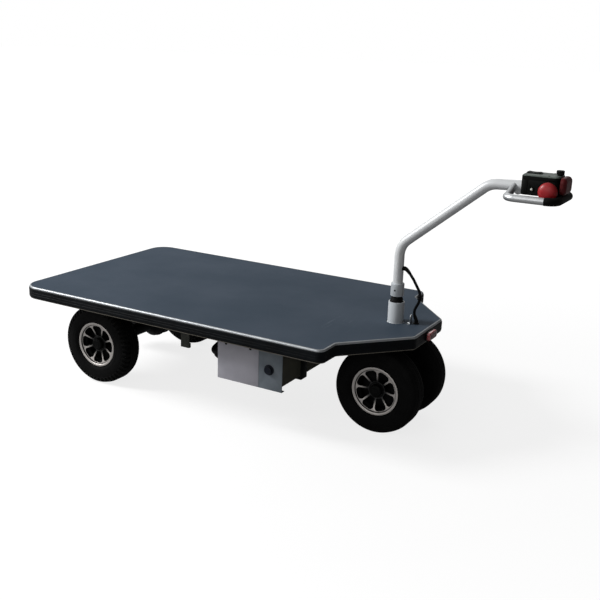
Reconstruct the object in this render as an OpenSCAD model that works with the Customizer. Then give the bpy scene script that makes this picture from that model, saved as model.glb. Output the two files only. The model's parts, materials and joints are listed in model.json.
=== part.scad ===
// Electric hand cart: a flat deck with a tapered nose on two driven rear wheels
// and a steered pair of front wheels, led by a bent handle with a control head.
// X runs forward to the handle, Y to the cart's left, Z up from the floor.

/* [Deck] */
// Width of the deck over its edge strip
deck_w = 700; // [640:5:760]
// Length of the deck over its edge strip
deck_l = 1230; // [1210:5:1270]
// Height of the deck's top above the floor
deck_top = 305; // [303:1:320]
// Height of the edge strip
edge_h = 38; // [34:1:40]
// Radius of the two rear corners
rear_corner_r = 60; // [40:2:90]
// Length of the tapered nose
nose_l = 154; // [150:1:170]
// Width of the nose's front edge
nose_w = 200; // [180:5:230]
// How far each taper starts inside the deck's side
taper_in = 78; // [65:1:90]
// Thickness of the deck board
board_t = 12; // [9:1:14]
// Thickness of the mat on the board
mat_t = 3; // [2:0.5:4]

/* [Wheels] */
// Radius of every tyre
tyre_r = 127; // [124:0.5:128]
// Width of every tyre
tyre_w = 74; // [68:1:76]
// Radius of the rim's bright outer ring
ring_r = 71.5; // [69:0.5:74]
// Number of spokes in each rim
spokes = 8; // [6:1:9]
// Width of each spoke
spoke_w = 5; // [4:0.5:7]
// Distance of the rear axle from the deck's rear edge
rear_axle_in = 226; // [215:1:240]
// Track of the rear wheels, centre to centre
rear_track = 464; // [460:2:474]
// Track of the front pair, centre to centre
front_track = 170; // [168:2:180]
// Number of tread lugs round each shoulder of a rear tyre
lugs = 48; // [40:2:52]

/* [Handle] */
// Distance of the steering post from the deck's front edge
post_back = 106; // [102:1:110]
// Distance from the post to the foremost point of the loop handle
loop_reach = 444; // [440:0.5:446]
// Outer radius of the handle tube
tube_r = 14; // [13:0.5:15]
// Height of the tube's lower bend above the deck
lower_bend_h = 223; // [210:1:240]
// Height of the tube's upper bend above the loop handle's bar
upper_bend_over = 18; // [14:1:22]
// Distance of the upper bend forward of the post
upper_bend_reach = 241; // [230:1:250]
// Radius of the two bends of the handle tube
tube_bend_r = 60; // [50:1:70]
// Radius of the loop handle's bar
loop_bar_r = 9.5; // [8:0.5:10]
// Radius of the rubber grip on the loop handle
grip_r = 10.5; // [10.5:0.25:11]
// Half the distance between the loop handle's side bars
loop_half_w = 75; // [74:1:82]
// Height of the loop handle's bar above the deck
loop_h = 403; // [401:0.5:405]

/* [Control head] */
// Length of the control head's case
head_l = 94; // [91:1:97]
// Width of the control head's case
head_w = 76; // [70:1:78]
// Height of the lower half of the case
head_shell_h = 38; // [36:1:42]
// Height of the upper half of the case
head_lid_h = 13; // [11:1:15]
// Radius of the red stop button
stop_r = 24.5; // [22:0.5:24.5]
// Radius of the speed knob
knob_r = 10; // [9:0.5:12]
// Travel of the two push buttons
button_travel = 4; // [3:0.5:5]

/* [Steering] */
// Outer radius of the steering head's tube, the lower collar
head_tube_r = 23; // [21:0.5:25]
// Height of the lower collar above the deck
collar_h = 59.5; // [54:0.5:62]
// Height of the open neck between the two collars
neck_h = 17.5; // [15:0.5:19]
// Radius of the upper collar
upper_collar_r = 19; // [18:0.5:20]
// Height of the upper collar
upper_collar_h = 38; // [34:1:42]
// Radius of the steering column
column_r = 12.5; // [11:0.5:13]

/* [Battery tray] */
// Distance of the tray's front wall from the steering post
tray_to_post = 195; // [190:1:205]
// Length of the tray along the cart
tray_l = 213; // [200:1:220]
// Length of the steel panel with the charge socket, beside the light cover
panel_l = 76; // [72:1:80]
// Height of the tray's floor above the ground
tray_z = 157; // [154:1:160]
// How far the side panels hang below the tray's floor
panel_drop = 18; // [14:1:20]
// Distance of the side panels inside the deck's edge
panel_in = 50; // [46:1:54]

/* [Hidden] */

// Round shapes are smooth at this count; small ones use the lower one
fine = 96;
small = 48;
// One overrun serves every cut
over = 1;
// Gap kept between two pieces that move past each other
gap = 0.3;
// Radial play of a shaft in its bore
play = 0.05;

// Straight bars reach this far into a bend, whose bar is a hair thinner
elbow_lap = 0.5;
elbow_step = 0.05;

// Places along the cart
overall_l = deck_l - post_back + loop_reach;
rear_x = -overall_l / 2;
front_x = rear_x + deck_l;
step_x = front_x - nose_l;
post_x = front_x - post_back;
rear_axle_x = rear_x + rear_axle_in;

// Corner radii of the deck's outline: the side step, the inner corner and the nose
taper_w = deck_w - 2 * taper_in;
step_r = 22;
inner_r = 10;
nose_r = 20;
// Number of chords in each corner's arc
corner_steps = 7;

// Sections of the edge strip
trim_t = 6.5;
trim_lip = 8;
trim_round = 4.5;
trim_top_face = 6;
trim_low_face = 3;
trim_set = 1.5;
channel_depth = 3.5;
bumper_round = 2.5;

// Levels of the deck
board_top = deck_top - mat_t;
board_bottom = board_top - board_t;
edge_bottom = deck_top - edge_h;

// Frame under the board
rail_y = 182;
rail_w = 30;
rail_h = 30;
rail_wall = 2.5;
rail_rear_in = 24;
rail_bottom = board_bottom - rail_h;
member_w = 40;
outer_member_h = 20;
member_shares = [0.06, 0.33, 0.62, 0.94];
nose_plate_t = 8;
nose_plate_l = 175;
nose_plate_front = 12;
nose_plate_half_w = 150;

// Steering head
bush_wall = 4;
bush_l = 22;
bush_flange_t = 2;
bush_flange_r = 19;
head_tube_low = 26;
head_tube_bottom = board_bottom - head_tube_low;
head_tube_top = deck_top + collar_h;
head_bore_r = column_r + play + bush_wall;
weld_r = 3;

// Front bogie
crown_t = 10;
crown_half_l = 42;
crown_half_w = 38;
crown_round = 10;
crown_top = head_tube_bottom - bush_flange_t - gap;
crown_bottom = crown_top - crown_t;
cheek_t = 8;
cheek_y = 22;
cheek_top_half_l = 34;
boss_r = 23;
axle_r = 10;
web_t = 6;
web_half_l = 20;

// Neck hinge
neck_bottom = head_tube_top;
neck_top = neck_bottom + neck_h;
clevis_base_t = 2;
clevis_base_r = 17;
ear_gap = 0.6;
pin_z = neck_top - (neck_h - gap - clevis_base_t) / 2;
ear_r = neck_top - pin_z - ear_gap;
tongue_t = 12;
ear_t = 6.5;
pin_r = 4;
pin_head_r = 5.5;
pin_head_t = 2;
stud_r = 8;
stud_l = 20;
knuckle_disc_t = 5;
knuckle_plug_l = 26;

// Handle tube
tube_wall = 2.5;
tube_foot_z = neck_top + knuckle_disc_t;
tube_head_rise = 5;
tube_head_in = 18;
cable_hole_h = 158;
cable_hole_r = 4.5;
upper_bend_h = loop_h + upper_bend_over;

// Loop handle, rear corners and front corners in plan
loop_rear_reach = 303;
loop_corner_r = 26;
loop_front_r = 28;
loop_arm_r = 16;
loop_arm_y = 44;
loop_arm_in = 5;
loop_arm_lead = 6;
loop_rise = 22;
grip_start_back = 29;
grip_x = post_x + loop_reach - grip_r;
loop_z = deck_top + loop_h;
loop_rear_x = post_x + loop_rear_reach;

// Control head
head_front_in = 9;
head_front_x = grip_x - head_front_in;
head_rear_x = head_front_x - head_l;
head_over_loop = 6;
head_bottom = loop_z + head_over_loop;
head_wall = 3;
head_corner_r = 12;
head_round = 5;
head_split = head_bottom + head_shell_h;
head_top = head_split + head_lid_h;
boss_wall = 3;
seam_w = 1.2;
seam_depth = 0.8;
seam_in = 18;

// Stop button on the right side of the head
stop_from_front = 21;
stop_up = 13;
stop_x = head_front_x - stop_from_front;
stop_z = head_bottom + stop_up;
stop_skirt = 6;
stop_dome = 12;
stop_stem_r = 6;
stop_stem_l = 16;

// Reverse button on the head's front end
reverse_w = 70;
reverse_h = 44;
reverse_t = 15.2;
reverse_round = 11;
reverse_lift = 2;
reverse_stem_r = 9;
reverse_stem_l = 16;

// Speed knob and direction rocker on the lid
knob_from_front = 6;
knob_h = 13;
knob_neck_h = 2.5;
knob_neck_r = 7;
knob_flutes = 14;
knob_flute_r = 1.2;
knob_shaft_r = 3;
knob_shaft_l = 10;
rocker_l = 34;
rocker_w = 18;
rocker_from_rear = 24;
rocker_rise = 4.5;
rocker_depth = 8;
rocker_frame_t = 2.5;
rocker_frame_h = 2.5;
rocker_tilt = 7;

// Indicator lamp on the right side of the head
lamp_from_rear = 30;
lamp_r = 4.5;
lamp_bezel_r = 6.5;
lamp_bezel_t = 2;
lamp_dome = 2.5;
lamp_above_seat = 15;

// Rim and hub
bead_r = 63.5;
flange_t = 4;
flange_y = 32;
barrel_t = 3.5;
well_r = 56;
web_depth = 9;
window_outer_r = 60;
window_inner_r = 25;
window_outer_fillet = 7;
window_inner_fillet = 3;
hub_r = 23;
hub_in = 24;
hub_out = 17;
spoke_dish = 9;
spoke_front_y = 27;
bearing_r = 18;
bearing_t = 12;
bearing_step_r = 15;
rib_depth = 2;
cap_r = 17;
cap_wall = 1.8;
cap_h = 14;
cap_round = 5;
nut_r = 15;
nut_t = 8;
// Turn of the front rims about their axles, so that their spokes stand as photographed
front_wheel_turn = 20;
shaft_collar_r = 16;
shaft_in = 46;
fillet_steps = 4;

// Tyre section: shares of the half width and of the height above the bead
tyre_outer_shares = [
    [0.36, 0], [0.75, 0], [0.755, 0.15], [0.86, 0.165], [0.93, 0.24], [0.955, 0.25],
    [0.985, 0.36], [1, 0.48], [0.985, 0.6], [0.95, 0.7], [0.96, 0.72], [0.93, 0.8],
    [0.86, 0.89], [0.74, 0.95], [0.5, 0.985]
];
tyre_inner_shares = [
    [0, 0.84], [0.42, 0.82], [0.68, 0.73], [0.82, 0.56], [0.8, 0.38], [0.62, 0.2], [0.44, 0.1]
];
// Ribs of a front tyre: shares of the half width across the crown
crown_rib_shares = [0.44, 0.36, 0.16, 0.08];
groove_depth = 3;
lug_gap = 5.5;
lug_depth = 4;
lug_in_share = 0.42;
shoulder_share = 0.86;

// Rear axle and drive
axle_tube_r = 21;
axle_tube_end_y = 190;
case_y = 60;
case_r = 44;
case_w = 96;
case_rib_t = 5;
case_ribs = 3;
case_rib_rise = 3;
cone_w = 30;
flange_r = 30;
flange_w = 8;
neck_l = 58;
neck_r = 34;
motor_r = 45;
motor_l = 110;
motor_cap_l = 16;
motor_cap_r = 40;
motor_fin_t = 3;
motor_fins = 12;
motor_fin_rise = 3;
motor_box_h = 12;
motor_box_w = 34;
bracket_y = 172;
bracket_t = 8;
bracket_half_l = 38;
saddle_wall = 8;

// Hanger bracket on the right rail
hanger_to_tray = 201;
hanger_l = 31;
hanger_t = 10;
hanger_bottom = 155;
hanger_foot_h = 14;

// Battery tray and its contents
sheet_t = 2;
tray_far_y = 205;
tray_top_gap = 1;
tray_top = rail_bottom - tray_top_gap;
tray_front_x = post_x - tray_to_post;
tray_rear_x = tray_front_x - tray_l;
cover_l = tray_l - panel_l;
panel_y = -deck_w / 2 + panel_in;
panel_t = 2;
panel_top_gap = 4;
panel_top = edge_bottom - panel_top_gap;
panel_fold = 14;
cover_x = tray_rear_x + cover_l;
seam = 0.6;
battery_gap = 3;
battery_end_gap = 35;
battery_top_gap = 12;
battery_h = tray_top - tray_z - sheet_t - battery_top_gap;
battery_l = (tray_far_y - sheet_t - panel_y - panel_t - 2 * battery_gap - battery_end_gap) / 2;
terminal_r = 6;
terminal_h = 5;
terminal_in = 16;
controller_gap = 6.5;
controller_w = panel_l - 1.5 * sheet_t - 2 * controller_gap;
controller_l = 150;
controller_h = 70;
controller_base_t = 8;
controller_fins = 7;
controller_fin_t = 3;
controller_from_panel = 40;
strap_w = 33;
strap_t = 3;
strap_drop = 12;

// Charge socket on the steel panel
socket_r = 15;
socket_cap_r = 12;
socket_flange_t = 3;
socket_cap_t = 9;
socket_round = 2;
socket_share = 0.45;
socket_up = 59;
socket_back_r = 10;
socket_back_l = 20;

// Conduit from the tray's rear wall to the motor
gland_r = 16;
gland_l = 20;
gland_in = 24;
gland_up = 46;
gland_y = panel_y + gland_in;
gland_z = tray_z + gland_up;
conduit_r = 8;
conduit_bend_r = 22;
conduit_under_rail = 13;
conduit_run_z = rail_bottom - conduit_under_rail;
conduit_run_y = 120;
conduit_out = 40;

// Nose lamp
nose_lamp_w = 58;
nose_lamp_h = 26;
nose_lamp_t = 13;
nose_lamp_round = 5;
nose_lamp_drop = 7;

// Control cable: points of its two stretches, from the post's axis at the deck's top
cable_r = 4;
cable_sides = 8;
cable_upper_route = [
    [17, 0, 158], [20.5, 0, 158], [26, 0, 154.5], [33, 0, 147.5], [41, 0, 138],
    [48, 1, 128], [54.5, 1, 117.5], [60.5, 2, 107], [65.5, 3, 98], [67, 3, 92], [67, 3, 88]
];
cable_lower_route = [
    [67, 3, 74], [67, 3, 70], [64.5, 4, 63.5], [61, 5, 56.5], [57, 6, 49], [54, 7, 41],
    [52.5, 8.5, 33], [53, 10, 25], [56, 11, 17], [59, 12, 9], [59, 12, 3]
];
joint_r = 6.5;
joint_round = 1.5;
grommet_r = 9;
grommet_h = 6;
grommet_round = 1.5;
tube_grommet_r = 7;
clip_reach = 47;
clip_w = 12;
clip_t = 2.5;
clip_h = 31;
clip_foot = 10;
clip_screw_r = 4;
clip_screw_h = 3.5;

// Geometry helpers

function unit(v) = v / norm(v);
function left_of(v) = [-v.y, v.x];
function turned(v, a) = [v.x * cos(a) - v.y * sin(a), v.x * sin(a) + v.y * cos(a)];

// Points of one rounded corner of an outline that runs anticlockwise
function corner_arc(a, b, c, r, steps) =
    let (
        u = unit(b - a),
        v = unit(c - b),
        side = u.x * v.y - u.y * v.x > 0 ? 1 : -1,
        sweep = acos(u * v),
        start = b - u * r * tan(sweep / 2),
        centre = start + left_of(u) * r * side
    )
    [for (i = [0 : steps]) centre + turned(left_of(u) * -side * r, side * sweep * i / steps)];

// Corner of an outline moved inwards by d
function inset_corner(a, b, c, d) =
    let (m = left_of(unit(b - a)), n = left_of(unit(c - b)))
    b + (m + n) * d / (1 + m * n);

// Closed outline with rounded corners, moved inwards by d
function rounded_outline(corners, radii, d, steps) =
    let (
        n = len(corners),
        inner = [for (i = [0 : n - 1])
            inset_corner(corners[(i + n - 1) % n], corners[i], corners[(i + 1) % n], d)]
    )
    [for (i = [0 : n - 1])
        let (
            a = inner[(i + n - 1) % n],
            b = inner[i],
            c = inner[(i + 1) % n],
            u = b - a,
            v = c - b,
            convex = u.x * v.y - u.y * v.x > 0
        )
        each corner_arc(a, b, c, convex ? radii[i] - d : radii[i] + d, steps)];

// Outline of the deck, moved inwards by d
function deck_outline(d) = rounded_outline(
    [
        [rear_x, -deck_w / 2], [step_x, -deck_w / 2], [step_x, -taper_w / 2],
        [front_x, -nose_w / 2], [front_x, nose_w / 2], [step_x, taper_w / 2],
        [step_x, deck_w / 2], [rear_x, deck_w / 2]
    ],
    [rear_corner_r, step_r, inner_r, nose_r, nose_r, inner_r, step_r, rear_corner_r],
    d,
    corner_steps
);

// Rectangle with rounded corners about the origin, moved inwards by d
function box_outline(l, w, r, d) = rounded_outline(
    [[-l / 2, -w / 2], [l / 2, -w / 2], [l / 2, w / 2], [-l / 2, w / 2]],
    [r, r, r, r],
    d,
    corner_steps
);

// Ring swept round the deck from a closed section of [inset, height] points
module edge_sweep(section) {
    count = len(deck_outline(0));
    rows = len(section);
    points = [for (s = section) each [for (p = deck_outline(s[0])) [p.x, p.y, s[1]]]];
    faces = [for (j = [0 : rows - 1]) for (i = [0 : count - 1])
        [
            j * count + i,
            ((j + 1) % rows) * count + i,
            ((j + 1) % rows) * count + (i + 1) % count,
            j * count + (i + 1) % count
        ]];
    polyhedron(points, faces, convexity = 10);
}

// Solid lofted through a rounded rectangle whose inset changes with height
module soft_slab(l, w, r, section) {
    count = len(box_outline(l, w, r, 0));
    rows = len(section);
    points = [for (s = section) each [for (p = box_outline(l, w, r, s[0])) [p.x, p.y, s[1]]]];
    sides = [for (j = [0 : rows - 2]) for (i = [0 : count - 1])
        [
            j * count + i,
            (j + 1) * count + i,
            (j + 1) * count + (i + 1) % count,
            j * count + (i + 1) % count
        ]];
    bottom = [[for (i = [0 : count - 1]) i]];
    top = [[for (i = [count - 1 : -1 : 0]) (rows - 1) * count + i]];
    polyhedron(points, concat(sides, bottom, top), convexity = 4);
}

// Heights and insets of an edge rounded by r below the height h
function rounded_edge(r, h) = [for (i = [0 : 4]) [r * (1 - cos(i * 22.5)), h - r + r * sin(i * 22.5)]];

// Cylinder between two points
module rod(a, b, r) {
    d = b - a;
    translate(a)
        rotate([0, acos(d.z / norm(d)), atan2(d.y, d.x)])
            cylinder(h = norm(d), r = r, $fn = small);
}

// Path whose two ends are moved outwards by d
function stretched(p, d) =
    let (n = len(p) - 1)
    [
        p[0] - unit(p[1] - p[0]) * d,
        each [for (i = [1 : n - 1]) p[i]],
        p[n] + unit(p[n] - p[n - 1]) * d
    ];

// Round bar through a list of points, with an arc at each inner point
module bent_bar(p, bends, r) {
    n = len(p) - 1;
    function way(i) = unit(p[i + 1] - p[i]);
    function cut(i) = i == 0 || i == n ? 0 : bends[i - 1] * tan(acos(way(i - 1) * way(i)) / 2);
    function lap(i) = i == 0 || i == n ? 0 : elbow_lap;
    for (i = [0 : n - 1])
        rod(p[i] + way(i) * (cut(i) - lap(i)), p[i + 1] - way(i) * (cut(i + 1) - lap(i + 1)), r);
    for (i = [1 : n - 1]) {
        u = way(i - 1);
        v = way(i);
        w = unit(v - u * (u * v));
        c = p[i] - u * cut(i) + w * bends[i - 1];
        z = cross(-w, u);
        multmatrix([
            [-w.x, u.x, z.x, c.x],
            [-w.y, u.y, z.y, c.y],
            [-w.z, u.z, z.z, c.z],
            [0, 0, 0, 1]
        ])
            rotate_extrude(angle = acos(u * v), $fn = fine)
                translate([bends[i - 1], 0])
                    circle(r = r - elbow_step, $fn = small);
    }
}

// Flexible cable swept along a route of points
module cable_sweep(route, r, sides) {
    n = len(route) - 1;
    function along(i) = unit(route[min(i + 1, n)] - route[max(i - 1, 0)]);
    points = [for (i = [0 : n]) each
        let (t = along(i), across = unit(cross(t, [0, 1, 0])), up = cross(across, t))
        [for (k = [0 : sides - 1])
            route[i] + r * (across * cos(360 * k / sides) + up * sin(360 * k / sides))]];
    sheath = [for (i = [0 : n - 1]) for (k = [0 : sides - 1])
        [
            i * sides + k,
            (i + 1) * sides + k,
            (i + 1) * sides + (k + 1) % sides,
            i * sides + (k + 1) % sides
        ]];
    foot = [[for (k = [0 : sides - 1]) k]];
    head = [[for (k = [sides - 1 : -1 : 0]) n * sides + k]];
    polyhedron(points, concat(sheath, foot, head), convexity = 6);
}

function cable_points(route) = [for (p = route) [post_x, 0, deck_top] + p];

// Places a wheel's piece: its own Z runs outwards from the wheel's centre plane
module at_wheel(x, y) {
    translate([x, y, tyre_r])
        rotate([y > 0 ? -90 : 90, 0, 0])
            children();
}

module front_wheel(side) at_wheel(post_x, side * front_track / 2) children();
module rear_wheel(side) at_wheel(rear_axle_x, side * rear_track / 2) children();

// Deck

module deck_board() color("burlywood")
    difference() {
        translate([0, 0, board_bottom])
            linear_extrude(board_t)
                polygon(deck_outline(trim_t));
        translate([post_x, 0, board_bottom - over])
            cylinder(h = board_t + 2 * over, r = head_tube_r, $fn = fine);
        cable_entry(board_bottom - over, board_t + 2 * over);
    }

module deck_mat() color("slategray")
    difference() {
        translate([0, 0, board_top])
            linear_extrude(mat_t)
                polygon(deck_outline(trim_lip));
        translate([post_x, 0, board_top - over])
            cylinder(h = mat_t + 2 * over, r = head_tube_r + weld_r + gap, $fn = fine);
        translate([cable_foot.x, cable_foot.y, board_top - over])
            cylinder(h = mat_t + 2 * over, r = grommet_r + gap, $fn = fine);
        translate([post_x + clip_reach - clip_foot - gap, -clip_w / 2 - gap, board_top - over])
            cube([clip_foot + clip_t / 2 + 2 * gap, clip_w + 2 * gap, mat_t + 2 * over]);
    }

// Where the control cable goes into the deck
cable_foot = cable_points(cable_lower_route)[len(cable_lower_route) - 1];

// Hole for the control cable through the deck
module cable_entry(z, h)
    translate([cable_foot.x, cable_foot.y, z])
        cylinder(h = h, r = cable_r + gap, $fn = small);

module edge_trim() color("gainsboro")
    edge_sweep([
        [trim_lip, deck_top],
        each [for (i = [0 : 4])
            [trim_set + trim_round * (1 - sin(i * 22.5)), deck_top - trim_round * (1 - cos(i * 22.5))]],
        [trim_set, deck_top - trim_top_face],
        [trim_set + channel_depth, deck_top - trim_top_face],
        [trim_set + channel_depth, edge_bottom + trim_low_face],
        [trim_set, edge_bottom + trim_low_face],
        [trim_set, edge_bottom + bumper_round],
        [trim_set + bumper_round, edge_bottom],
        [trim_t, edge_bottom],
        [trim_t, board_top],
        [trim_lip, board_top]
    ]);

module edge_bumper() color("black")
    edge_sweep([
        [trim_set + channel_depth, deck_top - trim_top_face],
        [bumper_round, deck_top - trim_top_face],
        [0, deck_top - trim_top_face - bumper_round],
        [0, edge_bottom + trim_low_face + 2 * bumper_round],
        [bumper_round / 2, edge_bottom + trim_low_face],
        [trim_set + channel_depth, edge_bottom + trim_low_face]
    ]);

module nose_lamp() color("crimson")
    translate([front_x, 0, deck_top - nose_lamp_drop - nose_lamp_h / 2])
        rotate([0, 90, 0])
            soft_slab(
                nose_lamp_h,
                nose_lamp_w,
                nose_lamp_round * 2,
                concat([[0, 0]], rounded_edge(nose_lamp_round, nose_lamp_t))
            );

// Frame

module rail(y) {
    rail_l = step_x - trim_t - gap - rear_x - rail_rear_in;
    translate([rear_x + rail_rear_in, y - rail_w / 2, rail_bottom])
        difference() {
            cube([rail_l, rail_w, rail_h]);
            translate([-over, rail_wall, rail_wall])
                cube([rail_l + 2 * over, rail_w - 2 * rail_wall, rail_h - 2 * rail_wall]);
        }
}

module frame_rails() color("dimgray") {
    rail(-rail_y);
    rail(rail_y);
}

// Cross tubes between the rails, and short ones from each rail to the edge strip
module cross_members() color("dimgray")
    for (share = member_shares) {
        x = rear_x + rail_rear_in + (step_x - rear_x - rail_rear_in) * share - member_w / 2;
        inner_half = rail_y - rail_w / 2;
        outer_from = rail_y + rail_w / 2;
        outer_to = deck_w / 2 - trim_t;
        member(x, -inner_half, inner_half, rail_h);
        member(x, outer_from, outer_to, outer_member_h);
        member(x, -outer_to, -outer_from, outer_member_h);
    }

module member(x, from, to, h)
    translate([x, from, board_bottom - h])
        difference() {
            cube([member_w, to - from, h]);
            translate([rail_wall, -over, rail_wall])
                cube([member_w - 2 * rail_wall, to - from + 2 * over, h - 2 * rail_wall]);
        }

module nose_plate() color("dimgray")
    difference() {
        translate([0, 0, board_bottom - nose_plate_t])
            linear_extrude(nose_plate_t)
                intersection() {
                    polygon(deck_outline(nose_plate_front));
                    translate([front_x - nose_plate_l, -nose_plate_half_w])
                        square([nose_plate_l, 2 * nose_plate_half_w]);
                }
        translate([post_x, 0, board_bottom - nose_plate_t - over])
            cylinder(h = nose_plate_t + 2 * over, r = head_tube_r, $fn = fine);
        cable_entry(board_bottom - nose_plate_t - over, nose_plate_t + 2 * over);
    }

// Steering head: a tube through the deck, whose upper end is the lower collar
module head_tube() color("lightsteelblue")
    difference() {
        union() {
            translate([post_x, 0, head_tube_bottom])
                cylinder(h = head_tube_top - head_tube_bottom, r = head_tube_r, $fn = fine);
            translate([post_x, 0, board_top])
                rotate_extrude($fn = fine)
                    polygon([
                        [head_bore_r, 0],
                        [head_tube_r + weld_r, 0],
                        [head_tube_r, weld_r],
                        [head_bore_r, weld_r]
                    ]);
        }
        translate([post_x, 0, head_tube_bottom - over])
            cylinder(h = head_tube_top - head_tube_bottom + 2 * over, r = head_bore_r, $fn = fine);
    }

module head_bushes() color("peru") {
    bush(head_tube_top - bush_l, 0);
    bush(head_tube_bottom, bush_flange_t);
}

// Flanged bush: its flange lies under its lower end
module bush(z, flange)
    translate([post_x, 0, z])
        difference() {
            union() {
                cylinder(h = bush_l, r = head_bore_r, $fn = fine);
                if (flange > 0)
                    translate([0, 0, -flange])
                        cylinder(h = flange, r = bush_flange_r + bush_wall, $fn = fine);
            }
            translate([0, 0, -flange - over])
                cylinder(h = bush_l + flange + 2 * over, r = column_r + play, $fn = fine);
        }

// Front bogie

module steering_column() color("dimgray")
    difference() {
        union() {
            translate([post_x, 0, crown_bottom])
                cylinder(h = neck_bottom + gap - crown_bottom, r = column_r, $fn = fine);
            translate([post_x, 0, crown_bottom])
                linear_extrude(crown_t)
                    polygon(box_outline(2 * crown_half_l, 2 * crown_half_w, crown_round, 0));
        }
        translate([post_x, 0, neck_bottom + gap - stud_l])
            cylinder(h = stud_l + over, r = stud_r, $fn = small);
    }

module bogie_yoke() color("dimgray")
    difference() {
        union() {
            for (side = [-1, 1])
                translate([post_x, side * cheek_y + cheek_t / 2, 0])
                    rotate([90, 0, 0])
                        linear_extrude(cheek_t)
                            polygon([
                                [-boss_r, tyre_r],
                                [boss_r, tyre_r],
                                [boss_r, tyre_r + boss_r],
                                [cheek_top_half_l, crown_bottom - boss_r],
                                [cheek_top_half_l, crown_bottom],
                                [-cheek_top_half_l, crown_bottom],
                                [-cheek_top_half_l, crown_bottom - boss_r],
                                [-boss_r, tyre_r + boss_r]
                            ]);
            for (side = [-1, 1])
                translate([post_x + side * web_half_l - web_t / 2, -cheek_y, tyre_r + boss_r])
                    cube([web_t, 2 * cheek_y, crown_bottom - tyre_r - boss_r]);
            translate([post_x, crown_half_w, tyre_r])
                rotate([90, 0, 0])
                    cylinder(h = 2 * crown_half_w, r = boss_r, $fn = fine);
        }
        translate([post_x, crown_half_w + over, tyre_r])
            rotate([90, 0, 0])
                cylinder(h = 2 * crown_half_w + 2 * over, r = axle_r, $fn = fine);
    }

// Fixed axle of the front pair, with its spacers and end nuts
module front_axle() color("silver") {
    hub_end = front_track / 2 - hub_in;
    nut_from = front_track / 2 + hub_out + gap;
    translate([post_x, 0, tyre_r])
        rotate([90, 0, 0]) {
            translate([0, 0, -nut_from - nut_t])
                cylinder(h = 2 * (nut_from + nut_t), r = axle_r, $fn = fine);
            for (side = [0, 1])
                mirror([0, 0, side]) {
                    translate([0, 0, crown_half_w])
                        cylinder(h = hub_end - gap - crown_half_w, r = bearing_step_r - over, $fn = fine);
                    translate([0, 0, nut_from])
                        cylinder(h = nut_t, r = nut_r, $fn = 6);
                }
        }
}

// Neck hinge

module hinge_clevis() color("darkslategray")
    difference() {
        union() {
            translate([post_x, 0, neck_bottom + gap])
                cylinder(h = clevis_base_t, r = clevis_base_r, $fn = fine);
            translate([post_x, 0, neck_bottom + gap - stud_l])
                cylinder(h = stud_l, r = stud_r, $fn = small);
            for (side = [-1, 1]) {
                mid = side * (tongue_t / 2 + gap + ear_t / 2);
                translate([post_x, mid + ear_t / 2, pin_z])
                    rotate([90, 0, 0])
                        cylinder(h = ear_t, r = ear_r, $fn = small);
                translate([post_x - ear_r, mid - ear_t / 2, neck_bottom + gap])
                    cube([2 * ear_r, ear_t, pin_z - neck_bottom - gap]);
            }
        }
        translate([post_x, clevis_base_r, pin_z])
            rotate([90, 0, 0])
                cylinder(h = 2 * clevis_base_r, r = pin_r, $fn = small);
    }

module hinge_pin() color("silver") {
    half = tongue_t / 2 + gap + ear_t;
    translate([post_x, half + pin_head_t, pin_z])
        rotate([90, 0, 0]) {
            cylinder(h = 2 * (half + pin_head_t), r = pin_r, $fn = small);
            cylinder(h = pin_head_t, r = pin_head_r, $fn = small);
            translate([0, 0, 2 * half + pin_head_t])
                cylinder(h = pin_head_t, r = pin_head_r, $fn = small);
        }
}

// Tongue between the clevis's ears, with the plug that fills the tube's foot
module handle_knuckle() color("darkslategray")
    difference() {
        union() {
            translate([post_x, tongue_t / 2, pin_z])
                rotate([90, 0, 0])
                    cylinder(h = tongue_t, r = ear_r, $fn = small);
            translate([post_x - ear_r, -tongue_t / 2, pin_z])
                cube([2 * ear_r, tongue_t, neck_top - pin_z]);
            translate([post_x, 0, neck_top])
                cylinder(h = knuckle_disc_t, r = tube_r, $fn = fine);
            translate([post_x, 0, tube_foot_z])
                cylinder(h = knuckle_plug_l, r = tube_r - tube_wall, $fn = fine);
        }
        translate([post_x, tongue_t / 2 + over, pin_z])
            rotate([90, 0, 0])
                cylinder(h = tongue_t + 2 * over, r = pin_r + play, $fn = small);
    }

// Handle

module handle_collar() color("lightsteelblue")
    difference() {
        translate([post_x, 0, neck_top])
            rotate_extrude($fn = fine)
                polygon([
                    [0, 0],
                    [upper_collar_r, 0],
                    [upper_collar_r, upper_collar_h - weld_r],
                    [upper_collar_r - weld_r, upper_collar_h],
                    [0, upper_collar_h]
                ]);
        translate([post_x, 0, neck_top - over])
            cylinder(h = upper_collar_h + 2 * over, r = tube_r, $fn = fine);
    }

handle_path = [
    [post_x, 0, tube_foot_z],
    [post_x, 0, deck_top + lower_bend_h],
    [post_x + upper_bend_reach, 0, deck_top + upper_bend_h],
    [head_rear_x + tube_head_in, 0, deck_top + upper_bend_h + tube_head_rise]
];

handle_bends = [tube_bend_r, tube_bend_r];

module handle_tube() color("whitesmoke")
    difference() {
        bent_bar(handle_path, handle_bends, tube_r);
        bent_bar(stretched(handle_path, over), handle_bends, tube_r - tube_wall);
        translate([post_x, 0, deck_top + cable_hole_h])
            rotate([0, 90, 0])
                cylinder(h = 2 * tube_r, r = cable_hole_r, $fn = small);
    }

// Rubber grommet in the tube's wall where the cable leaves it
module tube_grommet() color("black")
    translate([post_x, 0, deck_top + cable_hole_h])
        rotate([0, 90, 0])
            intersection() {
                difference() {
                    cylinder(h = cable_upper_route[0].x, r = tube_grommet_r, $fn = small);
                    rotate([0, -90, 0])
                        translate([0, 0, -tube_grommet_r - over])
                            cylinder(h = 2 * (tube_grommet_r + over), r = tube_r, $fn = small);
                }
                cylinder(h = cable_upper_route[0].x, r1 = tube_grommet_r * 2, r2 = cable_r + over, $fn = small);
            }

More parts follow.
